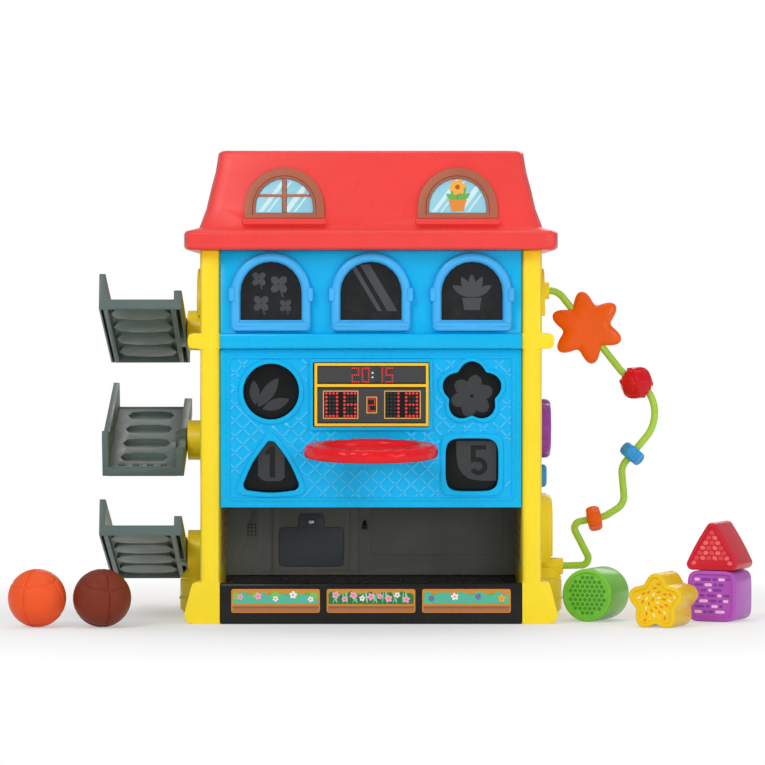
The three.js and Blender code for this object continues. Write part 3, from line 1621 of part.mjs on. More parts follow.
const longBend = bendAt(3);
const cageTurn = cageStartDegrees * degrees;
const cageArc = wireBends[3] - (cageBore - wireRadius) * cageOffsetShare;
addBead('bead_star', starBead(), finishes.orange, onRun(1, starPlaceShare));
addBead('bead_ball', cageBead(), finishes.beadRed, {
  place: longBend.centre.clone().add(
    new THREE.Vector3(Math.cos(cageTurn), 0, Math.sin(cageTurn)).multiplyScalar(cageArc)),
  towards: new THREE.Vector3(Math.sin(cageTurn), 0, -Math.cos(cageTurn)),
});
addBead('bead_blue', smallBead(), finishes.beadBlue, onRun(3, blueBeadShare));
addBead('bead_orange', smallBead(), finishes.orange, onRun(6, orangeBeadShare));

add('ball_orange', ball(), finishes.ballOrange).position.set(orangeBallX, ballY, ballRadius);
add('ball_brown', ball(), finishes.ballBrown).position.set(brownBallX, ballY, ballRadius);

// A block turned a little to its left, its lowest edge on the level z
function addBlock(name, body, material, x, y, z) {
  const piece = add(name, body, material);
  piece.geometry.computeBoundingBox();
  piece.position.set(x, y, z - piece.geometry.boundingBox.min.z);
  piece.rotation.z = blockTurnDegrees * degrees;
}

addBlock('block_cylinder', roundBlock(), finishes.blockGreen, cylinderX, blockRowY, 0);
addBlock('block_star', starBlockSolid(), finishes.blockYellow, starBlockX, blockFrontY, 0);
addBlock('block_square', squareBlockSolid(), finishes.purple, squareBlockX, blockRowY, 0);
addBlock('block_triangle', triangleBlockSolid(), finishes.blockRed, squareBlockX, blockRowY,
  squareBlock + blockRest);

export default house;
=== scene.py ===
"""Dresses the packed model of a two-storey activity house toy with its mouldings, prints and finishes."""

import json
import math

import bpy
from mathutils import Matrix, Vector
from mathutils.bvhtree import BVHTree


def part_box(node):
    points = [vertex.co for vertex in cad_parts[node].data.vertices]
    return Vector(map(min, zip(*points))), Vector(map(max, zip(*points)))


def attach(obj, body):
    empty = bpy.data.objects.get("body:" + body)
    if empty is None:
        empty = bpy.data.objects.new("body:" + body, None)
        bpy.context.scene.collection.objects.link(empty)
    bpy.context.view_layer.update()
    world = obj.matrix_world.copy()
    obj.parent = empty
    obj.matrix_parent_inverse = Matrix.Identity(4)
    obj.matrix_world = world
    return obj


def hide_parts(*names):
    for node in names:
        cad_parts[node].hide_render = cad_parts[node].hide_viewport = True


bl_info = {
    "name": "Activity house toy",
    "version": (1, 0, 0),
    "blender": (4, 5, 0),
    "location": "3D View > Sidebar > Toy house",
    "description": "Dresses the packed activity house with its mouldings, prints and finishes",
    "category": "Object",
}

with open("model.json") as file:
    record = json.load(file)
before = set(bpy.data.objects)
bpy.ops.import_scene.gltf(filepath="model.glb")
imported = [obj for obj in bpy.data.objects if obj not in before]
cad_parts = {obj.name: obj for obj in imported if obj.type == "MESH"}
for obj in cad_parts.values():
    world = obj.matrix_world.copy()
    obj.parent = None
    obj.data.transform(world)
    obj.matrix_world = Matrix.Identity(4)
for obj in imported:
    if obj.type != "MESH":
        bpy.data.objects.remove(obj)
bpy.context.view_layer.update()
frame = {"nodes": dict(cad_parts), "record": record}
NODES = frame["nodes"]
BODY_OF = {node: body for body, members in frame["record"]["behaviour"]["bodies"].items() for node in members}
SLOT_OF = {part["node"]: part["material_slot"] for part in frame["record"]["subparts"]}
MM = 0.001
TURN = math.tau
SHARP_ANGLE = math.radians(30)


# Values that a user would change

def paint(name, description, default):
    return bpy.props.FloatVectorProperty(
        name=name, description=description, subtype='COLOR_GAMMA', size=3, min=0, max=1,
        default=tuple(round(channel / 255, 4) for channel in default))


def length(name, description, default):
    return bpy.props.FloatProperty(name=name, description=description, default=default * MM, unit='LENGTH', min=0)


class HouseColours(bpy.types.PropertyGroup):
    """Colours of the toy's mouldings, as they look on a screen."""
    roof_red: paint("Roof red", "Moulded roof", (238, 70, 66))
    hoop_red: paint("Hoop red", "Glossy hoop", (226, 26, 36))
    house_yellow: paint("House yellow", "Side walls, back and ramp caps", (252, 224, 46))
    panel_blue: paint("Panel blue", "Front panels", (0, 181, 238))
    frame_blue: paint("Frame blue", "Window frames", (66, 178, 244))
    tray_black: paint("Tray black", "Base and tray", (26, 27, 27))
    # The housing's and the battery door's greys are painted lighter than their plastic, as painted light in the
    # tray's shaded recess.
    housing_grey: paint("Housing grey", "Housing in the tray", (124, 126, 121))
    door_grey: paint("Door grey", "Battery door", (94, 100, 108))
    lens_grey: paint("Lens grey", "Smoked windows and flaps", (20, 22, 22))
    ramp_grey: paint("Ramp grey", "Ball ramps", (94, 110, 106))
    window_brown: paint("Window brown", "Roof window frames", (172, 100, 76))
    pane_blue: paint("Pane blue", "Roof window panes", (150, 208, 226))
    wire_green: paint("Wire green", "Coated bead wire", (172, 218, 78))
    star_orange: paint("Star orange", "Star bead and orange bead", (246, 100, 22))
    bead_red: paint("Bead red", "Ribbed round bead", (208, 22, 34))
    bead_blue: paint("Bead blue", "Blue bead and side plate", (56, 156, 230))
    dial_purple: paint("Dial purple", "Side dial", (150, 70, 175))
    block_purple: paint("Block purple", "Square block", (182, 88, 192))
    block_green: paint("Block green", "Round block", (120, 198, 66))
    block_red: paint("Block red", "Triangular block", (208, 36, 54))
    block_yellow: paint("Block yellow", "Star block", (238, 198, 26))
    ball_orange: paint("Ball orange", "Orange ball", (240, 92, 44))
    ball_brown: paint("Ball brown", "Brown ball", (126, 54, 36))
    sign_grey: paint("Sign grey", "Scoreboard field", (66, 66, 68))
    sign_gold: paint("Sign gold", "Scoreboard lines", (250, 200, 36))
    pad_wood: paint("Pad wood", "Printed planter boxes", (216, 142, 46))


class HouseSizes(bpy.types.PropertyGroup):
    """Sizes of the fine detail."""
    edge_round: length("Edge round", "Rounding of moulded edges", 0.55)
    print_depth: length("Print depth", "Thickness of the printed layers", 0.12)
    lattice_pitch: length("Lattice pitch", "Distance between the lattice ridges", 10.2)
    lattice_width: length("Lattice width", "Width of a lattice ridge", 2.5)
    lattice_rise: length("Lattice rise", "Height of a lattice ridge", 1.2)
    groove_depth: length("Groove depth", "Depth of the grooves in the balls", 1.3)
    groove_width: length("Groove width", "Half width of the grooves in the balls", 1.2)
    camera_distance: length("Camera distance", "Distance from the house's front", 3800)
    camera_height: length("Camera height", "Height of the camera over the floor", 283)


def colours():
    return bpy.context.scene.toy_house_colours


def sizes():
    return bpy.context.scene.toy_house_sizes


# Mesh helpers

def only(piece):
    """Leaves just this piece selected and active."""
    if bpy.context.object and bpy.context.object.mode != 'OBJECT':
        bpy.ops.object.mode_set(mode='OBJECT')
    bpy.ops.object.select_all(action='DESELECT')
    piece.select_set(True)
    bpy.context.view_layer.objects.active = piece
    return piece


def fresh(name):
    """Names the object that was just added."""
    piece = bpy.context.object
    piece.name = name
    piece.data.name = name
    return piece


def primitive(name, add, **settings):
    """Adds a named object with nothing else selected."""
    bpy.ops.object.select_all(action='DESELECT')
    add(**settings)
    return fresh(name)


def linked(name, data):
    """A new object in the scene round a mesh or a curve."""
    piece = bpy.data.objects.new(name, data)
    bpy.context.scene.collection.objects.link(piece)
    return piece


def apply_modifiers(piece):
    only(piece)
    for modifier in list(piece.modifiers):
        bpy.ops.object.modifier_apply(modifier=modifier.name)


def outward(piece):
    """Turns every face of a closed form outwards."""
    only(piece)
    bpy.ops.object.mode_set(mode='EDIT')
    bpy.ops.mesh.select_all(action='SELECT')
    bpy.ops.mesh.remove_doubles(threshold=0.000002)
    bpy.ops.mesh.normals_make_consistent(inside=False)
    bpy.ops.mesh.select_all(action='DESELECT')
    bpy.ops.object.mode_set(mode='OBJECT')


def smooth(piece, angle=38):
    only(piece)
    bpy.ops.object.shade_smooth_by_angle(angle=math.radians(angle))
    return piece


def rounded(piece, edge, segments=2):
    """Rounds the sharp edges and smooths the faces between them."""
    bevel = piece.modifiers.new("Edges", 'BEVEL')
    bevel.width = edge
    bevel.segments = segments
    bevel.limit_method = 'ANGLE'
    bevel.angle_limit = SHARP_ANGLE
    bevel.use_clamp_overlap = False
    bevel.miter_outer = 'MITER_ARC'
    apply_modifiers(piece)
    smooth(piece)


def settle(piece, material, body):
    """Gives a finished piece its material, its slot and the body that it moves with."""
    piece.data.materials.clear()
    piece.data.materials.append(material)
    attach(piece, body)
    return piece


def stands_for(piece, node, material):
    """A new piece that takes a node's place."""
    settle(piece, material, BODY_OF[node])
    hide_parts(node)
    return piece


def merged_copy(node, whole_faces=True):
    """A copy of a node with its loose triangles merged, on request into whole faces."""
    piece = linked(node + "_moulding", NODES[node].data.copy())
    only(piece)
    if piece.data.has_custom_normals:
        bpy.ops.mesh.customdata_custom_splitnormals_clear()
    bpy.ops.object.mode_set(mode='EDIT')
    bpy.ops.mesh.select_all(action='SELECT')
    bpy.ops.mesh.remove_doubles(threshold=0.00001)
    if whole_faces:
        bpy.ops.mesh.dissolve_limited(angle_limit=math.radians(0.6))
    bpy.ops.mesh.select_all(action='DESELECT')
    bpy.ops.object.mode_set(mode='OBJECT')
    return piece


def dressed(node, material, edge=None, segments=2, whole_faces=True, piece=None):
    """A copy of a node with rounded edges and its material, in the node's place."""
    piece = piece or merged_copy(node, whole_faces)
    edge = sizes().edge_round if edge is None else edge * MM
    if edge:
        rounded(piece, edge, segments)
    else:
        smooth(piece)
    return stands_for(piece, node, material)


def cut_through(piece, surface, outline, reach):
    """Cuts an outline through a piece from a surface, over a reach in millimetres."""
    tool = card(surface, outline, 0)
    wall = tool.modifiers.new("Depth", 'SOLIDIFY')
    wall.thickness = reach * MM
    wall.offset = -1
    apply_modifiers(tool)
    hole = piece.modifiers.new("Hole", 'BOOLEAN')
    hole.operation = 'DIFFERENCE'
    hole.solver = 'EXACT'
    hole.object = tool
    apply_modifiers(piece)
    bpy.data.objects.remove(tool)


def joined(name, pieces):
    """One piece from several."""
    bpy.ops.object.select_all(action='DESELECT')
    for piece in pieces:
        piece.select_set(True)
    bpy.context.view_layer.objects.active = pieces[0]
    if len(pieces) > 1:
        bpy.ops.object.join()
    return fresh(name)


def stamped(name, pattern, matrices):
    """Copies of one pattern, each set down by a matrix and all joined; the pattern itself goes."""
    pieces = [moved(linked("copy", pattern.data.copy()), matrix) for matrix in matrices]
    bpy.data.objects.remove(pattern)
    return joined(name, pieces)


def ringed(name, rings, first, last, angle):
    """A smooth closed form: a sphere whose rings are laid on the given outlines, all in millimetres."""
    count, levels = len(rings[0]), len(rings) + 1
    piece = primitive(name, bpy.ops.mesh.primitive_uv_sphere_add, segments=count, ring_count=levels, radius=1)
    for vertex in piece.data.vertices:
        level = round(math.acos(max(-1, min(1, vertex.co.z))) / math.pi * levels)
        step = round(math.atan2(vertex.co.y, vertex.co.x) / TURN * count) % count
        place = first if level == 0 else last if level == levels else rings[level - 1][step]
        vertex.co = Vector(place) * MM
    outward(piece)
    return smooth(piece, angle)


def looped(name, loops, angle):
    """A smooth closed ring from a torus: each loop is the section at one place round it, in millimetres."""
    around, section = len(loops), len(loops[0])
    piece = primitive(name, bpy.ops.mesh.primitive_torus_add, major_segments=around, minor_segments=section,
                      major_radius=2, minor_radius=1)
    for vertex in piece.data.vertices:
        across = math.hypot(vertex.co.x, vertex.co.y) - 2
        place = round(math.atan2(vertex.co.y, vertex.co.x) / TURN * around) % around
        turn = round(math.atan2(vertex.co.z, across) / TURN * section) % section
        vertex.co = Vector(loops[place][turn]) * MM
    outward(piece)
    return smooth(piece, angle)


def moved(piece, matrix):
    """Moves the mesh, so that the object stays at the origin."""
    piece.data.transform(matrix)
    piece.data.update()
    return piece


def box_of(node):
    """A node's lowest and highest corner, in millimetres."""
    low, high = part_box(node)
    return low / MM, high / MM


def middle_of(node):
    low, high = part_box(node)
    return (low + high) / 2 / MM


# Flat outlines, in millimetres

def round_about(steps):
    """Angles in even steps all the way round."""
    return [TURN * i / steps for i in range(steps)]


def polar(x, z, radius, angle):
    return x + radius * math.cos(angle), z + radius * math.sin(angle)


def turned(x, z, u, v, lean):
    """The point (u, v) turned by an angle and set down from (x, z)."""
    return x + u * math.cos(lean) - v * math.sin(lean), z + u * math.sin(lean) + v * math.cos(lean)


def powered(value, power):
    """A power that keeps the sign: below 1 it squares a round line off."""
    return math.copysign(abs(value) ** power, value)


def ellipse(x, z, across, up, steps=24, turn=0):
    lean = math.radians(turn)
    return [turned(x, z, across * math.cos(a), up * math.sin(a), lean) for a in round_about(steps)]


def round_box(left, bottom, right, top, corner=0, steps=4):
    if not corner:
        return [(left, bottom), (right, bottom), (right, top), (left, top)]
    middles = ((right - corner, bottom + corner), (right - corner, top - corner), (left + corner, top - corner),
               (left + corner, bottom + corner))
    return [polar(x, z, corner, math.radians(90 * k - 90 + 90 * i / steps))
            for k, (x, z) in enumerate(middles) for i in range(steps + 1)]


def lobes(x, z, radius, waist, count, steps):
    """A soft star: wide round lobes with valleys at a share of the radius."""
    swells = [(a, (1 + math.cos(count * (a - math.pi / 2))) / 2) for a in round_about(steps)]
    return [polar(x, z, radius * (waist + (1 - waist) * swell ** 0.8), a) for a, swell in swells]


def leaf(x, z, reach, width, turn):
    """A pointed leaf from its stalk end."""
    shares = [i / 14 for i in range(14)]
    sides = [(share, 1) for share in shares] + [(1 - share, -1) for share in shares]
    return [turned(x, z, reach * share, side * width / 2 * math.sin(math.pi * share) ** 0.8, math.radians(turn))
            for share, side in sides]


def beside(x0, z0, x1, z1, width):
    """Half a width across the line between two points."""
    reach = math.hypot(x1 - x0, z1 - z0)
    return -(z1 - z0) / reach * width / 2, (x1 - x0) / reach * width / 2


def stroke(x0, z0, x1, z1, width):
    """A straight bar between two points."""
    ox, oz = beside(x0, z0, x1, z1, width)
    return [(x0 - ox, z0 - oz), (x1 - ox, z1 - oz), (x1 + ox, z1 + oz), (x0 + ox, z0 + oz)]


def ribbon(points, width):
    """Quads side by side along a line of points."""
    edges = []
    for i, (x, z) in enumerate(points):
        ox, oz = beside(*points[max(i - 1, 0)], *points[min(i + 1, len(points) - 1)], width)
        edges.append(((x + ox, z + oz), (x - ox, z - oz)))
    return [[first[0], first[1], second[1], second[0]] for first, second in zip(edges, edges[1:])]


def arch_line(x, bottom, width, height, steps=24):
    """Up one side, over the round top and down the other."""
    radius = width / 2
    spring, halfway = bottom + height - radius, bottom + (height - radius) / 2
    top = [polar(x, spring, radius, math.pi * i / steps) for i in range(steps + 1)]
    return [(x + radius, bottom), (x + radius, halfway), *top, (x - radius, halfway), (x - radius, bottom)]


def arch_half(z, bottom, width, height):
    """Half the width of an arch at a height."""
    over = z - (bottom + height - width / 2)
    return width / 2 if over <= 0 else math.sqrt(max(0, (width / 2) ** 2 - over ** 2))


def slanted(x, bottom, width, height, start, reach):
    """A slanted band of quads, kept inside an arch."""
    rows, lean, margin, steps = [], 0.75, 0.4, 14
    for i in range(steps + 1):
        z = bottom + margin + (height - 2 * margin) * i / steps
        half = arch_half(z, bottom, width, height) - margin
        left = x + start + lean * (z - bottom)
        rows.append((max(x - half, left), min(x + half, left + reach), z))
    return [[(l0, z0), (r0, z0), (r1, z1), (l1, z1)] for (l0, r0, z0), (l1, r1, z1) in zip(rows, rows[1:])
            if r0 - l0 > 0.2 and r1 - l1 > 0.2]


def frame_bars(left, bottom, right, top, band):
    """Four bars round an opening."""
    low, high = bottom + band, top - band
    return [round_box(left, bottom, right, low), round_box(left, high, right, top),
            round_box(left, low, left + band, high), round_box(right - band, low, right, high)]


def flower(x, z, radius, petals=5, lean=0):
    """Petals round a middle."""
    return [ellipse(*polar(x, z, radius * 0.55, a), radius * 0.48, radius * 0.36, 10, math.degrees(a))
            for a in (TURN * i / petals + lean for i in range(petals))]


class Surface:
    """A flat place with the directions across, up and outwards, in the slot and the body of a node."""

    def __init__(self, node, origin, across=(1, 0, 0), up=(0, 0, 1)):
        self.body, self.slot = BODY_OF[node], SLOT_OF[node]
        self.origin = Vector(origin) * MM
        self.across = Vector(across).normalized()
        self.up = Vector(up).normalized()
        self.out = self.across.cross(self.up)

    def at(self, across, up, rise=0.0):
        return self.origin + (self.across * across + self.up * up + self.out * rise) * MM


def front(node, y=None):
    """The flat front of a node, or the plane at a Y."""
    return Surface(node, (0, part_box(node)[0].y / MM if y is None else y, 0))


class Draped(Surface):
    """The front of a node that isn't flat: a point lies where a straight line from the front meets it."""

    def __init__(self, node):
        super().__init__(node, (0, 0, 0))
        mesh = NODES[node].data
        self.depth = sum(v.co.y for v in mesh.vertices) / len(mesh.vertices)
        self.tree = BVHTree.FromPolygons([v.co for v in mesh.vertices], [list(f.vertices) for f in mesh.polygons])

    def at(self, across, up, rise=0.0):
        place, normal, _face, _reach = self.tree.ray_cast(Vector((across * MM, -1, up * MM)), Vector((0, 1, 0)))
        if place is None:
            place, normal, _face, _reach = self.tree.find_nearest(Vector((across * MM, self.depth, up * MM)))
        return place + normal * rise * MM


def card(surface, outline, rise):
    """One filled outline lying on a surface, facing outwards."""
    piece = primitive("card", bpy.ops.mesh.primitive_circle_add, vertices=len(outline), radius=1, fill_type='NGON')
    for vertex, (across, up) in zip(piece.data.vertices, outline):
        vertex.co = surface.at(across, up, rise)
    piece.data.update()
    if piece.data.polygons[0].normal.dot(surface.out) < 0:
        piece.data.flip_normals()
    return piece


def printed(name, surface, outlines, material, rise=0.02, depth=None):
    """A thin printed layer of filled outlines, each a hair over the last, so that they may cross."""
    cards = [card(surface, outline, rise + 0.004 * (i % 17)) for i, outline in enumerate(outlines)]
    return thick(joined(name, cards), surface, material, depth)


def thick(piece, surface, material, depth=None):
    layer = piece.modifiers.new("Layer", 'SOLIDIFY')
    layer.thickness = sizes().print_depth if depth is None else depth * MM
    layer.offset = 1
    apply_modifiers(piece)
    return settle(piece, material, surface.body)


def dots(name, surface, places, radius, material, rise=0.02, steps=10):
    """The same round dot at many places on a surface."""
    pattern = card(surface, ellipse(0, 0, radius, radius, steps), rise)
    piece = stamped(name, pattern, [Matrix.Translation(surface.at(x, z) - surface.origin) for x, z in places])
    return thick(piece, surface, material)


# Materials

def linear(colour, share=1.0):
    """A screen colour, in shares or in steps up to 255, as the shaders take it."""
    values = []
    for channel in colour:
        channel = channel / 255 if max(colour) > 1 else channel
        value = channel / 12.92 if channel <= 0.04045 else ((channel + 0.055) / 1.055) ** 2.4
        values.append(min(1, value * share))
    return (*values, 1)


class Wiring:
    """Adds, fills and wires the nodes of a tree."""

    def __init__(self, tree):
        self.nodes, self.links = tree.nodes, tree.links

    def fill(self, node, values):
        """Sets a node's sockets, or links them where the value is another node's output."""
        for socket, value in values.items():
            if isinstance(value, (int, float, tuple)):
                node.inputs[socket].default_value = value
            else:
                self.links.new(value, node.inputs[socket])
        return node

    def add(self, kind, values):
        return self.fill(self.nodes.new("ShaderNode" + kind), values)

    def math(self, operation, *values):
        node = self.add("Math", dict(enumerate(values)))
        node.operation = operation
        return node.outputs[0]

    def light_path(self, *rays):
        """1 for the rays named, 0 for all others."""
        path = self.nodes.new("ShaderNodeLightPath")
        seen = path.outputs[f"Is {rays[0]} Ray"]
        for ray in rays[1:]:
            seen = self.math('MAXIMUM', seen, path.outputs[f"Is {ray} Ray"])
        return seen

    def blend(self, share, first, second):
        return self.add("MixShader", {0: share, 1: first, 2: second}).outputs[0]


class Recipe(Wiring):
    """The nodes of one material."""

    def __init__(self, name):
        self.material = bpy.data.materials.new(name)
        self.material.use_nodes = True
        super().__init__(self.material.node_tree)
        self.shader = self.nodes["Principled BSDF"]
        self.place = self.nodes.new("ShaderNodeTexCoord").outputs["Object"]

    def noise(self, scale, detail=3, distortion=0, place=None):
        values = {"Scale": scale, "Detail": detail, "Distortion": distortion, "Vector": place or self.place}
        return self.add("TexNoise", values).outputs["Fac"]

    def ranged(self, value, low, high, start=0.3, end=0.7):
        return self.add("MapRange", {"From Min": start, "From Max": end, "To Min": low, "To Max": high,
                                     "Value": value}).outputs["Result"]

    def mixed(self, share, first, second):
        node = self.nodes.new("ShaderNodeMix")
        node.data_type = 'RGBA'
        return self.fill(node, {0: share, 6: first, 7: second}).outputs[2]

    def finished(self, values, height=None, strength=0, distance=0):
        """Fills the shader, with a bump where a height is given."""
        if height:
            bump = self.add("Bump", {"Strength": strength, "Distance": distance, "Height": height})
            values = values | {"Normal": bump.outputs["Normal"]}
        self.fill(self.shader, values)
        return self.material


def made_once(look):
    """Keeps the material that was made before under the same name."""
    def kept(name, *values, **details):
        return bpy.data.materials.get(name) or look(name, *values, **details)
    return kept


@made_once
def plastic(name, colour, roughness=0.3, drift=0.05, grain=0.1, coat=0.0, grain_scale=1400, wear=0.5, shine=0.22):
    """Moulded plastic: a little colour drift, worn edges, uneven gloss and a fine moulded grain."""
    recipe = Recipe(name)
    broad = recipe.ranged(recipe.noise(22), 0, 1)
    base = recipe.mixed(broad, linear(colour, 1 - drift), linear(colour, 1 + drift))
    # Sharp edges are painted lighter: partly rub wear, partly a painted highlight along the edges.
    if wear:
        pointed = recipe.nodes.new("ShaderNodeNewGeometry").outputs["Pointiness"]
        edges = recipe.ranged(pointed, 0, wear, 0.54, 0.7)
        scuff_and_sheen_breakup = recipe.ranged(recipe.noise(160, 6, 0.6), 0.4, 1, 0.35, 0.65)
        worn_and_lit = tuple(min(1, value + 0.03) for value in linear(colour, 1.2)[:3]) + (1,)
        base = recipe.mixed(recipe.math('MULTIPLY', edges, scuff_and_sheen_breakup), base, worn_and_lit)
    gloss = recipe.ranged(recipe.noise(60, 5, 0.4), roughness - 0.05, roughness + 0.07)
    return recipe.finished({
        "Base Color": base, "Roughness": gloss, "Specular IOR Level": shine, "Coat Weight": coat,
        "Coat Roughness": 0.12}, recipe.noise(grain_scale, 2), grain, 0.0002)


def moulded(colour, *values, name=None, **details):
    """Moulded plastic in one of the toy's colours."""
    return plastic((name or colour) + "_moulded", getattr(colours(), colour), *values, **details)


@made_once
def ink(name, colour, roughness=0.34, drift=0.05):
    """A printed layer: even colour with a trace of screen grain."""
    recipe = Recipe(name)
    grain = recipe.ranged(recipe.noise(900, 2), 0, 1)
    return recipe.finished({
        "Base Color": recipe.mixed(grain, linear(colour, 1 - drift), linear(colour, 1 + drift)),
        "Roughness": recipe.ranged(recipe.noise(120, 4), roughness - 0.05, roughness + 0.08),
        "Specular IOR Level": 0.25}, recipe.noise(2200, 2), 0.05, 0.0001)


@made_once
def metal(name, colour, roughness=0.3, brushed=(1, 1, 30)):
    """Plated steel with fine draw lines."""
    recipe = Recipe(name)
    stretched = recipe.add("Mapping", {"Scale": brushed, "Vector": recipe.place}).outputs["Vector"]
    lines = recipe.noise(300, 4, place=stretched)
    return recipe.finished({
        "Base Color": recipe.mixed(recipe.ranged(lines, 0, 1), linear(colour, 0.86), linear(colour, 1)),
        "Roughness": recipe.ranged(lines, roughness - 0.07, roughness + 0.12), "Metallic": 1}, lines, 0.12, 0.0001)


# The toy's own pieces

PANEL_FRONT = -121.0
LEFT, RIGHT = -90.0, 91.0
ROUND_Z, SQUARE_Z = 209.5, 143.5
OUTLINE_STEPS = 120
LATTICE_FIELD = (-126.8, 126.8, 113.9, 238.8)
LATTICE_MIDDLE_Z, LATTICE_STEP, SHORTEST_RIDGE = 176, 0.8, 5.2


def dress_walls():
    for node in ("left_side_wall", "right_side_wall", "back_panel"):
        dressed(node, moulded("house_yellow", 0.3, 0.02))
    dressed("base_tray", moulded("tray_black", 0.26, 0.12, 0.12))


def turned_face(name, node, profile, petals, dip, material):
    """A round face out of the wall with shallow petals; its profile is (radius, reach, petal share) for each ring."""
    x, (_x, y, z) = box_of(node)[0].x, middle_of(node)
    rings = [[(x + reach, *polar(y, z, radius - dip * share * (0.5 - 0.5 * math.cos(petals * a)) ** 2, a))
              for a in round_about(OUTLINE_STEPS)] for radius, reach, share in profile[1:-1]]
    stands_for(ringed(name, rings, (x + profile[0][1], y, z), (x + profile[-1][1], y, z), 40), node, material)


def rolled(radius, reach, roll, fade):
    """The rounded rim of a turned face."""
    return [(radius - roll * (1 - math.cos(a)), reach + roll * math.sin(a), 1 - fade * math.sin(a))
            for a in (math.radians(15 * i) for i in range(7))]


def dress_side_toys():
    dial = [(0, 9, 0), (4.3, 9, 0), (4.3, 0, 0), (26.6, 0, 1), (27.4, 0.8, 1), (27.4, 5, 1),
            *rolled(27.4, 9.4, 5, 0.6), (19, 14.2, 0.2), (17.5, 13.2, 0), (9.5, 12.9, 0), (8.4, 13.6, 0),
            (6, 14.3, 0), (3, 14.45, 0), (0, 14.5, 0)]
    plate = [(0, 0, 0), (10.6, 0, 1), (11, 0.4, 1), *rolled(11, 9.4, 3.5, 0), (4, 12.98, 0.4), (0, 13, 0)]
    turned_face("side_dial_petals", "side_dial", dial, 8, 2.2, moulded("dial_purple", 0.22, wear=0))
    turned_face("side_plate_rounded", "side_plate", plate, 6, 0.5,
                moulded("bead_blue", 0.22, wear=0, name="side_plate_blue"))


def smooth_star(x, z, radius):
    """The sorter's star: five wide lobes with soft notches."""
    points = []
    for a in round_about(160):
        reach = radius * (0.76 + 0.24 * math.sqrt(((1 + math.cos(5 * a)) / 2 + 0.03) / 1.03))
        points.append((x + reach * math.sin(a), z + reach * math.cos(a)))
    return points


def sorter_outlines():
    """For each sorter hole its middle, its cut through the panel, and the inner and outer line of its smooth band."""
    base = SQUARE_Z - 23.3
    rounds = [ellipse(LEFT, ROUND_Z, radius, radius, OUTLINE_STEPS) for radius in (25.2, 25.15, 29.4)]
    stars = [smooth_star(RIGHT, ROUND_Z, radius) for radius in (27.2, 27.15, 31.3)]
    triangles = [soft_triangle(LEFT, base - drop, *form) for drop, *form in (
        (0, 58, 50.3, 5.4, 1.8), (0, 57.9, 50.2, 5.4, 1.8), (4.1, 71.8, 62.5, 6.4, 1.9))]
    squares = [squircle(RIGHT, SQUARE_Z, *form) for form in ((24, 0.26), (23.8, 0.42), (28.1, 0.27))]
    return {"circle": ((LEFT, ROUND_Z), *rounds), "star": ((RIGHT, ROUND_Z), *stars),
            "triangle": ((LEFT, base + 19), *triangles), "square": ((RIGHT, SQUARE_Z), *squares)}


# Sections of the smooth bands: (share of the width, Y)
HOLE_SECTION = ((0, -119), (0, -122.3), (0.07, -122.75), (0.22, -122.95), (0.5, -122.9), (0.8, -122.85),
                (0.93, -122.7), (1, -122.2), (1, -119))
TUBE_SECTION = ((0, -124), (0, -125.6), (0.09, -126.7), (0.24, -127.5), (0.42, -127.9), (0.58, -127.9),
                (0.76, -127.5), (0.91, -126.7), (1, -125.6), (1, -124))


def raised_band(name, inner, outer, section):
    """A smooth closed band between two outlines; the section gives the front at each share of its width."""
    return looped(name, [[(x0 + (x1 - x0) * share, y, z0 + (z1 - z0) * share) for share, y in section]
                         for (x0, z0), (x1, z1) in zip(inner, outer)], 40)


def within(shape, x, z):
    """True where a point lies inside an outline."""
    hit = False
    for i, (x1, z1) in enumerate(shape):
        x0, z0 = shape[i - 1]
        if (z0 > z) != (z1 > z) and x < (x1 - x0) * (z - z0) / (z1 - z0) + x0:
            hit = not hit
    return hit


def clear_of_sorters(bands, x, z):
    """True where the lattice may run: inside the border and off the holes, the scoreboard and the hoop's bracket."""
    left, right, bottom, top = LATTICE_FIELD
    on_sign, on_bracket = abs(x) < 57 and z > 173.5, abs(x) < 25 and 140 < z < 172
    if on_sign or on_bracket or not (left < x < right and bottom < z < top):
        return False
    return not any(within(band, x, z) for band in bands)


def lattice_runs():
    """The ridges' straight runs, cut where they would cross something."""
    pitch, runs = sizes().lattice_pitch / MM * math.sqrt(2), []
    bands = [grown(outer, middle, 1.6) for middle, _hole, _inner, outer in sorter_outlines().values()]
    for lean in (1, -1):
        for i in range(-14, 15):
            run = None
            for j in range(int(290 / LATTICE_STEP)):
                x = -145 + j * LATTICE_STEP
                z = LATTICE_MIDDLE_Z + lean * x + i * pitch
                if clear_of_sorters(bands, x, z):
                    run = (run[0] if run else (x, z), (x, z))
                elif run:
                    runs.append(run)
                    run = None
    return [run for run in runs if run[1][0] - run[0][0] > SHORTEST_RIDGE]


def lattice():
    """Raised diamond lattice on the lower panel: one ridge, modelled once and laid along each run."""
    ridge = primitive("ridge", bpy.ops.mesh.primitive_cube_add, size=1)
    for vertex in ridge.data.vertices:
        vertex.co.x += 0.5
        vertex.co.z += 0.5
        if vertex.co.z > 0.5:
            vertex.co.y *= 0.35
            vertex.co.x = 0.03 + vertex.co.x * 0.94
    matrices, out = [], Vector((0, -1, 0))
    for (x0, z0), (x1, z1) in lattice_runs():
        along = Vector((x1 - x0, 0, z1 - z0)) * MM
        across = out.cross(along).normalized() * sizes().lattice_width
        turn = Matrix((along, across, out * sizes().lattice_rise)).transposed().to_4x4()
        matrices.append(Matrix.Translation(Vector((x0, PANEL_FRONT + 0.02, z0)) * MM) @ turn)
    piece = stamped("lower_panel_lattice", ridge, matrices)
    outward(piece)
    # The ridges' blue, lighter than the panel's, is a painted highlight.
    ridges = plastic("lattice_blue_moulded", (0.2, 0.75, 0.97), 0.27, shine=0.34)
    settle(piece, ridges, "house")


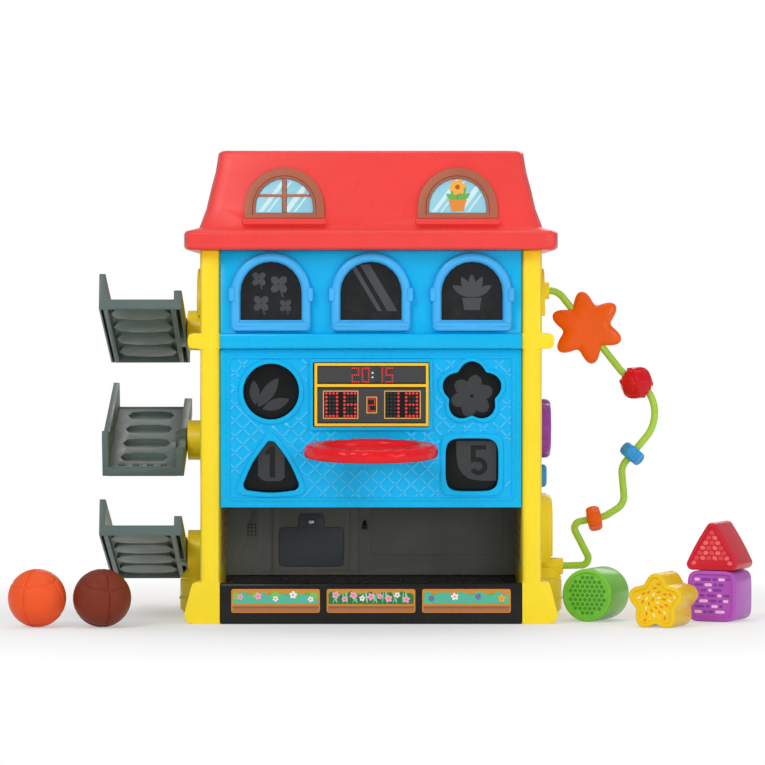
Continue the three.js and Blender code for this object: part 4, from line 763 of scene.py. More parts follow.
def dress_panels():
    blue = moulded("panel_blue", 0.26, 0.03)
    dressed("upper_front_panel", blue, 0.5)
    panel = merged_copy("lower_front_panel", False)
    outlines = sorter_outlines()
    for _middle, hole, _inner, _outer in outlines.values():
        cut_through(panel, front("lower_front_panel", -128), hole, 16)
    dressed("lower_front_panel", blue, 0.5, piece=panel)
    bands = [raised_band(name + "_band", inner, outer, HOLE_SECTION)
             for name, (_middle, _hole, inner, outer) in outlines.items()]
    settle(joined("sorter_hole_bands", bands), blue, "house")
    lattice()


def clover(x, z, reach):
    """A small plain clover of four leaves and a stalk."""
    leaves = [ellipse(*polar(x, z, reach * 0.5, math.radians(turn)), reach * 0.42, reach * 0.34, 16, turn)
              for turn in (45, 135, 225, 315)]
    return leaves + [stroke(x, z, x + reach * 0.35, z - reach * 1.15, reach * 0.14)]


def potted_plant(x, z, reach):
    rim = z - reach * 0.35
    foot, top = reach * 0.4, reach * 0.52
    pot = [(x - foot, z - reach), (x + foot, z - reach), (x + top, rim), (x - top, rim)]
    return [pot] + [leaf(x, z - reach * 0.3, reach * 1.2, reach * 0.42, turn) for turn in (30, 62, 90, 118, 150)]


def rounded_bar(name, left, bottom, right, top, corner, back, face):
    """A bar on the front whose face rolls off to its sides."""
    outline, middle = round_box(left, bottom, right, top, corner), ((left + right) / 2, (bottom + top) / 2)
    rings = [[(x, y, z) for x, z in grown(outline, middle, -corner * share)] for share, y in (
        (0, back), (0, face + 2.0), (0.07, face + 1.1), (0.2, face + 0.5), (0.38, face + 0.15), (0.55, face))]
    return ringed(name, rings, (middle[0], back, middle[1]), (middle[0], face, middle[1]), 50)


def window_mouldings(side, x, material):
    """The tube-like arch, the rounded sill and the two clips that stand out of a window frame."""
    inner, outer = arch_line(x, 268.6, 55.8, 58.2, 40), arch_line(x, 266.4, 71.2, 68.1, 40)
    parts = [raised_band("arch", inner, outer, TUBE_SECTION),
             rounded_bar("sill", x - 34.5, 264.2, x + 34.5, 272.4, 3.9, -121.5, -129.4)]
    parts += [rounded_bar("clip", u - 2.9, 290.4, u + 2.9, 303.4, 2.4, -122, -128.9) for u in (x - 35.2, x + 35.2)]
    settle(joined(f"window_mouldings_{side}", parts), material, "house")


def dress_windows():
    frame_blue = moulded("frame_blue", 0.2, shine=0.3, name="window_frame_blue")
    lens = moulded("lens_grey", 0.12, 0.15, 0.02, coat=0.3, shine=0.2, name="smoked_lens")
    for side, x in (("left", LEFT), ("middle", 0.0), ("right", RIGHT)):
        dressed("window_frame_" + side, frame_blue, 1.7, segments=4)
        window_mouldings(side, x, frame_blue)
        dressed("window_lens_" + side, lens, 0)
    places = ((-101, 311, 8), (-83, 306, 10), (-99, 289, 9), (-77, 287, 7))
    clovers = [shape for place in places for shape in clover(*place)]
    streaks = [[(24, 282), (15, 282), (-10, 324), (-1, 324)], [(10, 282), (6, 282), (-18, 322), (-14, 323)]]
    for name, shapes in (("clovers", clovers), ("streaks", streaks), ("plant", potted_plant(RIGHT, 300, 17))):
        printed("window_print_" + name, front("window_lens_middle", -116.72), shapes,
                ink("window_print_grey", (72, 76, 78), 0.2))


def shifted(x, *points):
    """An outline that is given about X 0, moved to another X."""
    return [(x + u, v) for u, v in points]


def dress_flaps():
    dark = moulded("lens_grey", 0.32, 0.15, 0.1, wear=0, shine=0.15, name="flap_black")
    for name in ("circle", "star", "triangle", "square"):
        dressed("flap_" + name, dark, 0.6, whole_faces=False)
    z = ROUND_Z - 4
    leaves = [leaf(LEFT - 12, z - 10, 32, 11, 55), leaf(LEFT - 8, z - 12, 26, 10, 20),
              leaf(LEFT - 14, z - 8, 22, 9, 95)]
    under_one = shifted(LEFT, (-12, 134), (-9, 130), (-4, 128.5), (8, 128.5), (12, 132), (12, 166), (-12, 166))
    one = shifted(LEFT, (-1.5, 132), (3.5, 132), (3.5, 160), (-0.5, 160), (-6, 154.5), (-4, 151.5), (-1.5, 153.5))
    under_five = shifted(RIGHT, (-14, 152), (-12.5, 142), (-8.5, 135), (-2, 130.5), (8, 129), (22, 129), (22, 165),
                         (-14, 165))
    x, turns = RIGHT, [math.radians(92 - 245 * i / 18) for i in range(19)]
    bowl = [polar(x + 6, 142, 8, a) for a in turns] + [polar(x + 6, 142, 3.6, a) for a in reversed(turns)]
    five = [round_box(x - 1, 157, x + 13, 161), round_box(x - 1, 148, x + 3.5, 157),
            round_box(x - 1, 146, x + 8, 150), bowl]
    grey, shade = ink("flap_print_grey", (58, 60, 61), 0.3), ink("flap_print_black", (24, 25, 26), 0.3)
    for name, flap, shapes, material, rise in (
            ("leaves", "circle", leaves, grey, 0.02), ("flower", "star", flower(x, z, 19, 6, 0.3), grey, 0.02),
            ("field_triangle", "triangle", [under_one], grey, 0.02), ("one", "triangle", [one], shade, 0.16),
            ("field_square", "square", [under_five], grey, 0.02), ("five", "square", five, shade, 0.16)):
        printed("flap_print_" + name, front("flap_" + flap), shapes, material, rise)


DIGITS = {
    "0": ("1111", "1001", "1001", "1001", "1001", "1001", "1111"),
    "1": ("0001", "0001", "0001", "0001", "0001", "0001", "0001"),
    "2": ("1111", "0001", "0001", "1111", "1000", "1000", "1111"),
    "5": ("1111", "1000", "1000", "1111", "0001", "0001", "1111"),
    "6": ("1111", "1000", "1000", "1111", "1001", "1001", "1111"),
    "8": ("1111", "1001", "1001", "1111", "1001", "1001", "1111"),
}


def digit_places(digits, top, pitch, row_pitch, lit):
    """The places of a line's lit or dark dots; digits are (digit, left)."""
    return [(left + column * pitch, top - row * row_pitch) for digit, left in digits
            for row, marks in enumerate(DIGITS[digit]) for column, mark in enumerate(marks) if (mark == "1") == lit]


def dress_scoreboard():
    plate = ink("sign_black", (14, 14, 15), 0.3)
    dressed("scoreboard_plate", plate, 0.15)
    surface = front("scoreboard_plate")
    boxes = [(-43.3, 185, -11.4, 210.4), (11.9, 185, 44.8, 210.4), (-4.1, 189.9, 5.5, 205)]
    for name, shapes, material, rise in (
            ("fields", [round_box(-47.6, 217.6, 48.6, 231.9), round_box(-47.6, 181.8, 48.6, 212.4)],
             ink("sign_field_grey", colours().sign_grey, 0.32), 0.02),
            ("gold_band", frame_bars(-50.9, 178.3, 51.9, 235.2, 2.5) + [round_box(-48.4, 213.7, 49.4, 216.3)],
             ink("sign_gold", colours().sign_gold, 0.3), 0.04),
            ("box_fields", [round_box(*edges) for edges in boxes], plate, 0.14),
            ("box_frames", [bar for edges in boxes for bar in frame_bars(*edges, 0.9)],
             ink("sign_pale_gold", (222, 176, 84), 0.3), 0.16)):
        printed("sign_" + name, surface, shapes, material, rise)
    large = (("0", -40.2), ("6", -23.9), ("1", 15.1), ("8", 31.7))
    clock = (("2", -16.8), ("0", -7.6), ("1", 4.6), ("5", 13.8))
    for lit, name, colour in ((True, "lit", (244, 62, 62)), (False, "dark", (46, 54, 50))):
        mark = ink("sign_dots_" + name, colour, 0.3)
        dots("sign_large_dots_" + name, surface, digit_places(large, 207.9, 3.22, 3.38, lit), 1.16, mark, 0.28)
        small = digit_places((("2", -1.9),), 202.9, 1.75, 1.82, lit) + digit_places(clock, 230.6, 1.85, 2.05, lit)
        dots("sign_small_dots_" + name, surface, small, 0.68, mark, 0.28, steps=8)
    dots("sign_colon", surface, [(1.4, 226.4), (1.4, 222.4)], 0.85, ink("sign_white", (236, 240, 236)), 0.28)


def hoop_ring():
    """The hoop: a squarish rounded band with low scallops on its upper outer edge, and its bracket to the panel."""
    low, high = box_of("hoop")
    outer, inner, height, tilt = 59.5, 43.0, 13.0, math.radians(3.2)
    loops = []
    for a in round_about(216):
        scallop = 0.9 * (0.5 + 0.5 * math.cos(24 * a)) ** 0.7
        loop = []
        for b in round_about(28):
            u, v = powered(math.cos(b), 0.6), powered(math.sin(b), 0.6)
            radius = (outer + inner) / 2 + u * (outer - inner) / 2
            rise = v * height / 2
            if v > 0 and u > -0.2:
                rise -= 1.5 * max(0, u) ** 2 - scallop * v * (0.4 + 0.6 * max(0, u))
                radius -= 1.1 * v * max(0, u) - 0.6 * scallop * max(0, u)
            if v > 0 and -0.6 < u < 0.55:
                rise -= 1.4 * (1 - abs(u) / 0.6)
            loop.append((*polar(0, 0, radius, a), rise))
        loops.append(loop)
    ring = looped("hoop_ring", loops, 50)
    middle_y, top = low.y + outer, high.z
    middle_z = top - outer * math.sin(tilt) - height / 2 - 0.9
    moved(ring, Matrix.Translation(Vector((0, middle_y, middle_z)) * MM) @ Matrix.Rotation(tilt, 4, 'X'))
    bracket = primitive("hoop_bracket", bpy.ops.mesh.primitive_cube_add, size=1)
    near = middle_y + outer - 6
    for vertex in bracket.data.vertices:
        x, y, z = vertex.co
        vertex.co = Vector((x * 36, near if y < 0 else high.y, top - height / 2 + z * (height - 3))) * MM
    rounded(bracket, 1.2 * MM, 3)
    stands_for(joined("hoop_moulding", [ring, bracket]), "hoop", moulded("hoop_red", 0.2, 0.05, 0.03, wear=0))


def window_cross(arch, glass, brown, groove_painted_shade):
    """The cross bars of the left roof window with a fine line down each side of the upright."""
    x, bottom, _width, height = arch
    cross = bottom + height * 0.5
    upright = [(x, bottom + 0.2 + (height - 0.4) * i / 8) for i in range(9)]
    half = arch_half(cross, *arch[1:]) - 0.2
    bars = ribbon(upright, 3.0) + ribbon([(x - half + 2 * half * i / 6, cross) for i in range(7)], 2.2)
    printed("roof_window_left_cross", glass, bars, brown, 0.1, 0.9)
    lines = [quad for offset in (-1.9, 1.9) for quad in ribbon([(u + offset, v) for u, v in upright], 0.5)]
    printed("roof_window_left_cross_shade", glass, lines, groove_painted_shade, 0.1, 0.2)


def window_flower(x, z, glass):
    """The potted flower in the right roof window."""
    pot = [(x - 5.4, z), (x + 5.4, z), (x + 7, z + 8), (x - 7, z + 8)]
    leaves = [leaf(x + 0.5, z + 9, reach, 5, turn) for reach, turn in ((13, 34), (15, 62), (14, 118), (13, 148))]
    for name, shapes, colour, rise in (
            ("leaves", leaves, (112, 178, 84), 0.12),
            ("stalk", [stroke(x, z + 8, x, z + 22, 1.4)], (92, 158, 72), 0.2),
            ("pot", [pot, round_box(x - 8, z + 8, x + 8, z + 10.6, 0.8)], (226, 142, 62), 0.3),
            ("bloom", flower(x, z + 22, 7.4, 6, 0.2), (250, 176, 70), 0.3),
            ("middle", [ellipse(x, z + 22, 2.2, 2.2, 14)], (168, 96, 48), 0.5)):
        printed("roof_window_right_" + name, glass, shapes, ink("roof_window_" + name, colour), rise, 0.1)


def dress_roof():
    dressed("roof", moulded("roof_red", 0.3, 0.04), 1.1, segments=3)
    brown = moulded("window_brown", 0.4, 0.08, 0.12, name="roof_window_brown")
    pane = plastic("roof_pane_blue_sheet", colours().pane_blue, 0.25, 0.06, 0.02)
    # Dark brown ink that paints the shade of the frames' grooves and of the upright's sides.
    groove_painted_shade = ink("roof_window_groove_brown", (112, 58, 42), 0.4)
    streak = ink("roof_pane_pale_streaks", (206, 236, 242), 0.25)
    for side in ("left", "right"):
        dressed("roof_window_frame_" + side, brown, 0.5)
        dressed("roof_window_pane_" + side, pane, 0.1)
        low, high = box_of("roof_window_pane_" + side)
        x, bottom, width, height = (low.x + high.x) / 2, low.z, high.x - low.x, high.z - low.z
        glass, rim = Draped("roof_window_pane_" + side), Draped("roof_window_frame_" + side)
        # A painted shade line round the arch, where a groove in the frame falls into shade.
        rim_line = ribbon(arch_line(x, bottom - 2, width + 5, height + 4.5), 0.7)
        printed(f"roof_window_{side}_groove", rim, rim_line, groove_painted_shade, 0.01, 0.06)
        streaks = [quad for start, reach in ((-24, 4.5), (-16, 2), (-2, 6), (8, 2))
                   for quad in slanted(x, bottom + 0.3, width - 0.6, height - 0.6, start, reach)]
        printed(f"roof_window_{side}_streaks", glass, streaks, streak, depth=0.08)
        if side == "left":
            window_cross((x, bottom, width, height), glass, brown, groove_painted_shade)
        else:
            window_flower(x, bottom + 1.2, glass)


def pin_cover(level, material):
    """The low round cup over the head of a ramp's pin, on the inner side of the ramp's wall."""
    low, high = box_of("ramp_cap_" + level)
    floor_x, y, z = low.x - 0.06, (low.y + high.y) / 2, (low.z + high.z) / 2
    rings = [[(x, *polar(y, z, radius, a)) for a in round_about(48)] for x, radius in (
        (floor_x, 9.1), (high.x, 9.1), (high.x, 9.7), (floor_x - 0.5, 9.7), (floor_x - 0.8, 9.4),
        (floor_x - 0.95, 8.8))]
    cover = ringed("ramp_pin_cover_" + level, rings, (floor_x, y, z), (floor_x - 0.95, y, z), 40)
    settle(cover, material, BODY_OF["ramp_" + level])


def dress_ramps():
    grey = moulded("ramp_grey", 0.34, 0.08, 0.12)
    for level in ("top", "middle", "bottom"):
        dressed("ramp_" + level, grey, 0.45, segments=3, whole_faces=False)
        dressed("ramp_cap_" + level, moulded("house_yellow", 0.3, 0.02), 0.8)
        pin_cover(level, grey)


PLANTER_INKS = {
    "board": (174, 116, 78), "board_shade": (152, 96, 62), "green": (96, 176, 84), "teal": (88, 190, 158),
    "light_green": (132, 196, 92), "dark_green": (44, 124, 74), "blades": (160, 214, 160),
    "teal_blades": (96, 196, 150), "pink": (246, 170, 190), "white": (248, 246, 246), "purple": (112, 104, 190),
    "yellow": (246, 176, 52)}
# For each planter: the ground, the bushes' greens, how many flowers, and their kinds
PLANTERS = (("left", "teal", ("light_green", "teal", "green"), 5, ("pink", "pink", "white", "white", "white")),
            ("middle", "dark_green", ("dark_green", "green", "dark_green"), 9, ("pink", "pink", "pink", "white")),
            ("right", "teal", ("teal", "green", "teal"), 4, ("purple", "white", "purple", "yellow")))


def dress_base():
    """Planter boxes printed on the three pads: a wooden edge, a lower board and flowers over the green."""
    sheet = ink("pad_wood", colours().pad_wood, 0.36, 0.1)
    for side, *_print in PLANTERS:
        dressed("planter_pad_" + side, sheet, 0.5)
    surface = front("planter_pad_middle")
    layers = {name: [] for name in PLANTER_INKS}
    middles = []
    for i, (side, field, greens, count, kinds) in enumerate(PLANTERS):
        low, high = box_of("planter_pad_" + side)
        left, right, bottom, height = low.x + 1.3, high.x - 1.3, low.z, high.z - low.z
        ground, sky = bottom + height * 0.38, high.z - 1.9
        layers["board"].append(round_box(left, bottom + 1.0, right, bottom + height * 0.29))
        layers["board_shade"].append(round_box(left, bottom + height * 0.2, right, bottom + height * 0.27))
        layers[field].append(round_box(left + 0.5, ground, right - 0.5, sky - 3.4, 0.8))
        for j in range(13):
            x = left + 4 + (right - left - 8) * j / 12
            layers[greens[j % 3]].append(ellipse(x, sky - 4.6 + 1.2 * math.sin(j * 2.3 + i), 3.7, 3.3, 14))
        for j in range(16 if side == "middle" else 0):
            x = left + 4 + (right - left - 10) * j / 15
            blade = leaf(x, ground + 0.2, 12, 1.7, (64, 112, 84, 98)[j % 4])
            layers["blades" if j % 2 else "teal_blades"].append(blade)
        for j in range(count):
            x = left + 7 + (right - left - 14) * j / (count - 1)
            z = (ground + sky) / 2 + 0.4 + 2.0 * math.sin(j * 2.7 + i * 1.9)
            layers[kinds[j % len(kinds)]].extend(flower(x, z, 3.5 if (j + i) % 2 else 2.7, 5, j * 0.5))
            middles.append((x, z))
    for i, (name, shapes) in enumerate(layers.items()):
        printed("planter_" + name, surface, shapes, ink("planter_" + name, PLANTER_INKS[name]), 0.02 + 0.07 * i, 0.1)
    dots("planter_flower_middles", surface, middles, 0.75, ink("planter_rose_middle", (222, 96, 120)), 0.95)


def tray_stickers():
    """Printed plank strips on the inner sides of the tray, of the same sheet as the planter pads."""
    for side, sign in (("left", -1), ("right", 1)):
        surface = Surface("planter_pad_" + side, (sign * 135.65, 0, 0), (0, -sign, 0))
        a, b = (-45, 104) if sign > 0 else (-104, 45)
        planks = [round_box(a, 54 + 9 * i, b, 62 + 9 * i) for i in range(5)]
        places = [(a + 8 + 20 * i, 58 + 9 * j) for i in range(8) for j in range(5) if a + 8 + 20 * i < b - 3]
        name = f"tray_sticker_{side}_"
        printed(name + "backing", surface, [round_box(a, 51, b, 102)], ink("sticker_green", (132, 196, 150)))
        printed(name + "planks", surface, planks, ink("sticker_planks", (206, 152, 58), drift=0.16), 0.14)
        dots(name + "pegs", surface, places, 1.3, ink("sticker_pegs", (96, 60, 34)), 0.28)


def dress_housing():
    # Housing and door greys are painted lighter, as painted light in the tray's shaded recess.
    dressed("electronics_housing", moulded("housing_grey", 0.38, 0.1, 0.22), 0.5, whole_faces=False)
    dressed("battery_door", moulded("door_grey", 0.34, 0.1, 0.16), 0.6, whole_faces=False)
    dressed("power_switch", moulded("lens_grey", 0.35, name="switch_black"), 0.4, whole_faces=False)
    dressed("battery_door_screw", metal("screw_steel", (196, 198, 200), 0.28), 0.2)


def dress_insides():
    """Batteries, contacts, circuit board and speaker behind the housing."""
    for node in ("battery_lower", "battery_upper"):
        dressed(node, metal("cell_sleeve_steel", (90, 96, 104), 0.34, (30, 1, 1)), 0.3)
    for node in ("battery_contact_left", "battery_contact_right"):
        dressed(node, metal("contact_steel", (190, 192, 188), 0.3), 0.2)
    dressed("circuit_board", plastic("circuit_board_green", (0.13, 0.4, 0.2), 0.4, 0.2), 0.2)
    dressed("speaker", plastic("speaker_black_moulded", (0.12, 0.12, 0.13), 0.5, 0.2), 0.3)


WIRE_CORNERS = ((156, 301, 0), (173.9, 301, 16), (234.8, 224.1, 20), (284.4, 197.8, 35.5), (233.4, 137, 16),
                (236.6, 102.1, 14), (218, 90.6, 20), (186.7, 84.2, 6.5), (206.6, 45.2, 6.5), (160, 44.2, 0))
WIRE_Y, WIRE_RADIUS = 10.0, 3.3


def bent(before, corner, after, radius, steps=None):
    """The points of a round bend in place of a corner, in steps of about five degrees unless told otherwise."""
    back, onward = (before - corner).normalized(), (after - corner).normalized()
    half = back.angle(onward) / 2
    reach = radius / math.tan(half)
    centre = corner + (back + onward).normalized() * radius / math.sin(half)
    start, end = corner + back * reach - centre, corner + onward * reach - centre
    sweep = math.copysign(math.pi - 2 * half, start.x * end.y - start.y * end.x)
    steps = steps or max(6, int(math.degrees(abs(sweep)) / 5))
    return [Vector(turned(*centre, *start, sweep * i / steps)) for i in range(steps + 1)]


def wire_points():
    """Points along the wire: straight runs with a round bend at each corner."""
    corners = [(Vector((x, z)), radius) for x, z, radius in WIRE_CORNERS]
    bends = [point for (before, _r), (corner, radius), (after, _s) in zip(corners, corners[1:], corners[2:])
             for point in bent(before, corner, after, radius)]
    return [corners[0][0], *bends, corners[-1][0]]


def bead_wire():
    curve = bpy.data.curves.new("bead_wire_path", 'CURVE')
    curve.dimensions = '3D'
    curve.bevel_depth = WIRE_RADIUS * MM
    curve.bevel_resolution = 6
    curve.use_fill_caps = True
    points = wire_points()
    spline = curve.splines.new('POLY')
    spline.points.add(len(points) - 1)
    for target, point in zip(spline.points, points):
        target.co = (point.x * MM, WIRE_Y * MM, point.y * MM, 1)
    only(linked("bead_wire_coated", curve))
    bpy.ops.object.convert(target='MESH')
    wire = bpy.context.object
    outward(wire)
    smooth(wire, 50)
    stands_for(wire, "bead_wire", moulded("wire_green", 0.28, 0.05, 0.05, wear=0))


def star_bead():
    """A puffed six-pointed star, thickest in its middle."""
    middle = middle_of("bead_star")
    tip, valley, half, count, levels = 34.0, 22.6, 8.5, 180, 40
    rings = []
    for k in range(1, levels):
        lat = math.pi / 2 - math.pi * k / levels
        spread = math.cos(lat) ** 0.75
        ring = []
        for a in round_about(count):
            point = (1 + math.cos(6 * (a - math.radians(39)))) / 2
            x, z = polar(middle.x, middle.z, (valley + (tip - valley) * point) * spread, a)
            ring.append((x, middle.y - half * powered(math.sin(lat), 0.8) * (1 - 0.12 * point * spread), z))
        rings.append(ring)
    reach = Vector((0, half, 0))
    star = ringed("bead_star_puffed", rings, middle - reach, middle + reach, 60)
    stands_for(star, "bead_star", moulded("star_orange", 0.2, 0.05, 0.03, wear=0))


def threaded(name, node, loops, towards, angle, material):
    """A bead from its loops, with its own Z turned to the wire, in its node's place."""
    turn = Vector((0, 0, 1)).rotation_difference(Vector(towards)).to_matrix().to_4x4()
    bead = looped(name, loops, angle)
    stands_for(moved(bead, Matrix.Translation(middle_of(node) * MM) @ turn), node, material)


def ring_bead(name, node, towards, material):
    """A bead with a bore: rounded and wavy outside, straight inside."""
    radius, bore, half, square, wave, waves = 11, 3.7, 6.5, 0.8, 0.8, 6
    loops = []
    for a in round_about(72):
        loop = []
        for b in round_about(24):
            u, v = powered(math.cos(b), square), powered(math.sin(b), square)
            out = (radius + bore) / 2 + u * (radius - bore) / 2 + wave * math.cos(waves * a) * max(0, math.cos(b))
            loop.append((*polar(0, 0, out, a), v * half))
        loops.append(loop)
    threaded(name, node, loops, towards, 45, material)


def ribbed_bead():
    """The round red bead: a sphere round a bore, with raised ribs that cross it both ways."""
    radius, bore, rib_height, outside, bend_centre = 16.0, 5.7, 1.1, 0.42, Vector((229.03, 187.0))
    loops = []
    hole = math.asin(bore / radius)
    for a in round_about(144):
        loop = []
        for j in range(72):
            b = j / 72
            if outside < b < 1 - outside:
                loop.append((*polar(0, 0, bore, a), (radius - 2) * math.cos(hole) * (1 - (b - outside) / 0.08)))
                continue
            share = b / outside if b <= outside else (b - 1) / outside
            lat = share * (math.pi / 2 - hole)
            rib = max(abs(math.cos(2 * (a + lat * 1.15))), abs(math.cos(2 * (a - lat * 1.15)))) ** 14
            r = radius - rib_height + rib_height * rib - 0.8 * (max(0, abs(share) - 0.9) / 0.1) ** 2
            loop.append((*polar(0, 0, r * math.cos(lat), a), r * math.sin(lat)))
        loops.append(loop)
    place = middle_of("bead_ball")
    away = (Vector((place.x, place.z)) - bend_centre).normalized()
    threaded("bead_ball_ribbed", "bead_ball", loops, (-away.y, 0, away.x), 50,
             moulded("bead_red", 0.18, 0.05, 0.02, wear=0))


def dress_beads():
    star_bead()
    ribbed_bead()
    ring_bead("bead_blue_ring", "bead_blue", (-0.643, 0, -0.766), moulded("bead_blue", 0.2, 0.05, 0.02, wear=0))
    ring_bead("bead_orange_ring", "bead_orange", (-0.98, 0, -0.2),
              moulded("star_orange", 0.2, 0.05, 0.02, wear=0, name="bead_orange"))


def seamed_ball(name, drift, tilt, spin):
    """A ball with one round groove each way and two curved ones."""
    radius, count, levels = 26.0, 160, 96
    middle = middle_of(name)
    depth, width = sizes().groove_depth / MM, sizes().groove_width / MM
    turn = Matrix.Rotation(math.radians(tilt), 3, 'X') @ Matrix.Rotation(math.radians(spin), 3, 'Z')

    def surface(lat, a):
        direction = Vector((math.sin(lat) * math.cos(a), math.sin(lat) * math.sin(a), math.cos(lat)))
        own = turn @ direction
        curved = abs(abs(own.y) - 0.62 - 0.16 * own.z ** 2) * 0.9
        gap = min(abs(own.x), abs(own.z), curved) * radius
        return middle + direction * (radius - depth * max(0, 1 - gap / width) ** 0.7)

    rings = [[surface(math.pi * k / levels, a) for a in round_about(count)] for k in range(1, levels)]
    ball = ringed(name + "_seamed", rings, surface(0, 0), surface(math.pi, 0), 60)
    stands_for(ball, name, moulded(name, 0.4, drift, 0.2, grain_scale=700, wear=0, shine=0.14))


def dress_balls():
    seamed_ball("ball_orange", 0.05, 70, 25)
    seamed_ball("ball_brown", 0.06, 64, -20)


def grown(outline, middle, margin):
    """The outline moved outwards by a margin, or inwards when it is negative."""
    points = []
    for (bx, bz), (x, z), (ax, az) in zip(outline[-1:] + outline[:-1], outline, outline[1:] + outline[:1]):
        nx, nz = az - bz, bx - ax
        size = math.hypot(nx, nz) or 1
        if nx * (x - middle[0]) + nz * (z - middle[1]) < 0:
            nx, nz = -nx, -nz
        points.append((x + nx / size * margin, z + nz / size * margin))
    return points


def squircle(x, z, half, power=0.36):
    return [(x + half * powered(math.cos(a), power), z + half * powered(math.sin(a), power))
            for a in round_about(OUTLINE_STEPS)]


def soft_triangle(x, bottom, width, height, corner, swell):
    """A triangle with round corners and slightly swollen sides."""
    corners = [Vector((x + width / 2, bottom)), Vector((x, bottom + height)), Vector((x - width / 2, bottom))]
    each = OUTLINE_STEPS // 3
    bend = each // 3
    bends = [bent(corners[k - 1], corners[k], corners[(k + 1) % 3], corner, bend - 1) for k in range(3)]
    points = []
    for k in range(3):
        first, last = bends[k][-1], bends[(k + 1) % 3][0]
        onward = (last - first).normalized()
        points += bends[k]
        for i in range(1, each - bend + 1):
            share = i / (each - bend + 1)
            out = Vector((onward.y, -onward.x)) * swell * math.sin(math.pi * share)
            points.append(first.lerp(last, share) + out)
    return [(p.x, p.y) for p in points]


BLOCK_TURN = math.radians(-24)
BLOCK_DEPTH = 46.0
FACE_RECESS = 1.6
GOLDEN_ANGLE = 2.399963


def moulded_block(kind, colour, outline, middle, roughness=0.24):
    """A block from its outline, with a rounded front rim round a recessed face; gives the face for its prints.

    The outline's X runs across the block's front and its Z up; the whole block is turned on the floor.
    """
    node, material = "block_" + kind, moulded("block_" + colour, roughness, 0.05, 0.03, wear=0)
    rim, edge = 3.2, 1.8
    back_y, front_y = BLOCK_DEPTH / 2, -BLOCK_DEPTH / 2
    face_y, inner = front_y + FACE_RECESS, -rim - 0.7
    bends = [math.pi / 2 * i / 5 for i in range(1, 6)]
    profile = [(-edge, back_y, 0.5), (-edge, back_y, 1)]
    profile += [(-edge + edge * math.sin(a), back_y - edge + edge * math.cos(a), 1) for a in bends]
    profile += [(0, 0, 1), (0, front_y + edge, 1)]
    profile += [(-edge + edge * math.cos(a), front_y + edge - edge * math.sin(a), 1) for a in bends]
    profile += [(-rim, front_y, 1), (-rim - 0.35, front_y + 0.3, 1), (inner, face_y, 1), (inner, face_y, 0.94),
                (inner, face_y, 0.5)]
    rings = [[(middle[0] + (x - middle[0]) * share, y, middle[1] + (z - middle[1]) * share)
              for x, z in grown(outline, middle, margin)] for margin, y, share in profile]
    piece = ringed(node + "_moulded", rings, (middle[0], back_y, middle[1]), (middle[0], face_y, middle[1]), 35)
    low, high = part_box(node)
    spot = (low + high) / 2
    place = Matrix.Translation((spot.x, spot.y, 0)) @ Matrix.Rotation(BLOCK_TURN, 4, 'Z')
    stands_for(moved(piece, place), node, material)
    return Surface(node, place @ Vector((0, face_y * MM, 0)) / MM, (math.cos(BLOCK_TURN), math.sin(BLOCK_TURN), 0))


def round_block():
    """Green, with a honeycomb of dots."""
    z = middle_of("block_cylinder").z
    outline, middle = ellipse(0, z, 24.1, 24.1, OUTLINE_STEPS), (0, z)
    face, room = moulded_block("cylinder", "green", outline, middle, 0.22), grown(outline, middle, -6.2)
    places = [((i + 0.5 * (j % 2)) * 4.6, z + j * 4.0) for i in range(-6, 7) for j in range(-6, 7)]
    dots("block_cylinder_print", face, [place for place in places if within(room, *place)], 1.95,
         ink("honeycomb_green", (70, 150, 44), 0.3), steps=6)


def block_prints(node, face, *layers):
    """A block's printed layers, each (name, shapes, the ink's name, its colour)."""
    for name, shapes, material, colour in layers:
        printed(f"{node}_print_{name}", face, shapes, ink(material, colour, 0.3))


def square_block():
    """Purple, with rows of dashes."""
    z = middle_of("block_square").z
    face = moulded_block("square", "purple", squircle(0, z, 23.25), (0, z))
    dark, pale = [], []
    for row in range(7):
        low, x = z - 15.5 + row * 4.9, -16.5
        for k in range(6):
            reach = (7, 3, 5, 9, 4, 6, 3, 8)[(k + row * 3) % 8]
            if x + reach > 17:
                break
            (dark if (k + row) % 3 else pale).append(round_box(x, low, x + reach, low + 2.6, 1.0, 2))
            x += reach + 1.6
    block_prints("block_square", face, ("dark", dark, "dashes_purple", (128, 66, 168)),
                 ("pale", pale, "dashes_pink", (238, 196, 238)))


def triangle_block():
    """Red, with cobbles."""
    low, high = (corner.z for corner in box_of("block_triangle"))
    outline, middle = soft_triangle(0, low, 56.2, high - low + 5.0, 5.4, 0.7), (0, low + (high - low) * 0.4)
    outline = [(u, max(v, low)) for u, v in outline]
    face, room = moulded_block("triangle", "red", outline, middle), grown(outline, middle, -6.6)
    light, deep = [], []
    for row in range(8):
        for k in range(-6, 7):
            x, z = k * 5.8 + (2.9 if row % 2 else 0), low + 6.5 + row * 4.6
            if within(room, x, z):
                turn = 12 * ((k * 7 + row * 5) % 5 - 2)
                (light if (row + k) % 2 else deep).append(ellipse(x, z, 2.5, 1.9, 10, turn))
    block_prints("block_triangle", face, ("light", light, "cobbles_light_red", (238, 112, 112)),
                 ("deep", deep, "cobbles_deep_red", (226, 74, 84)))


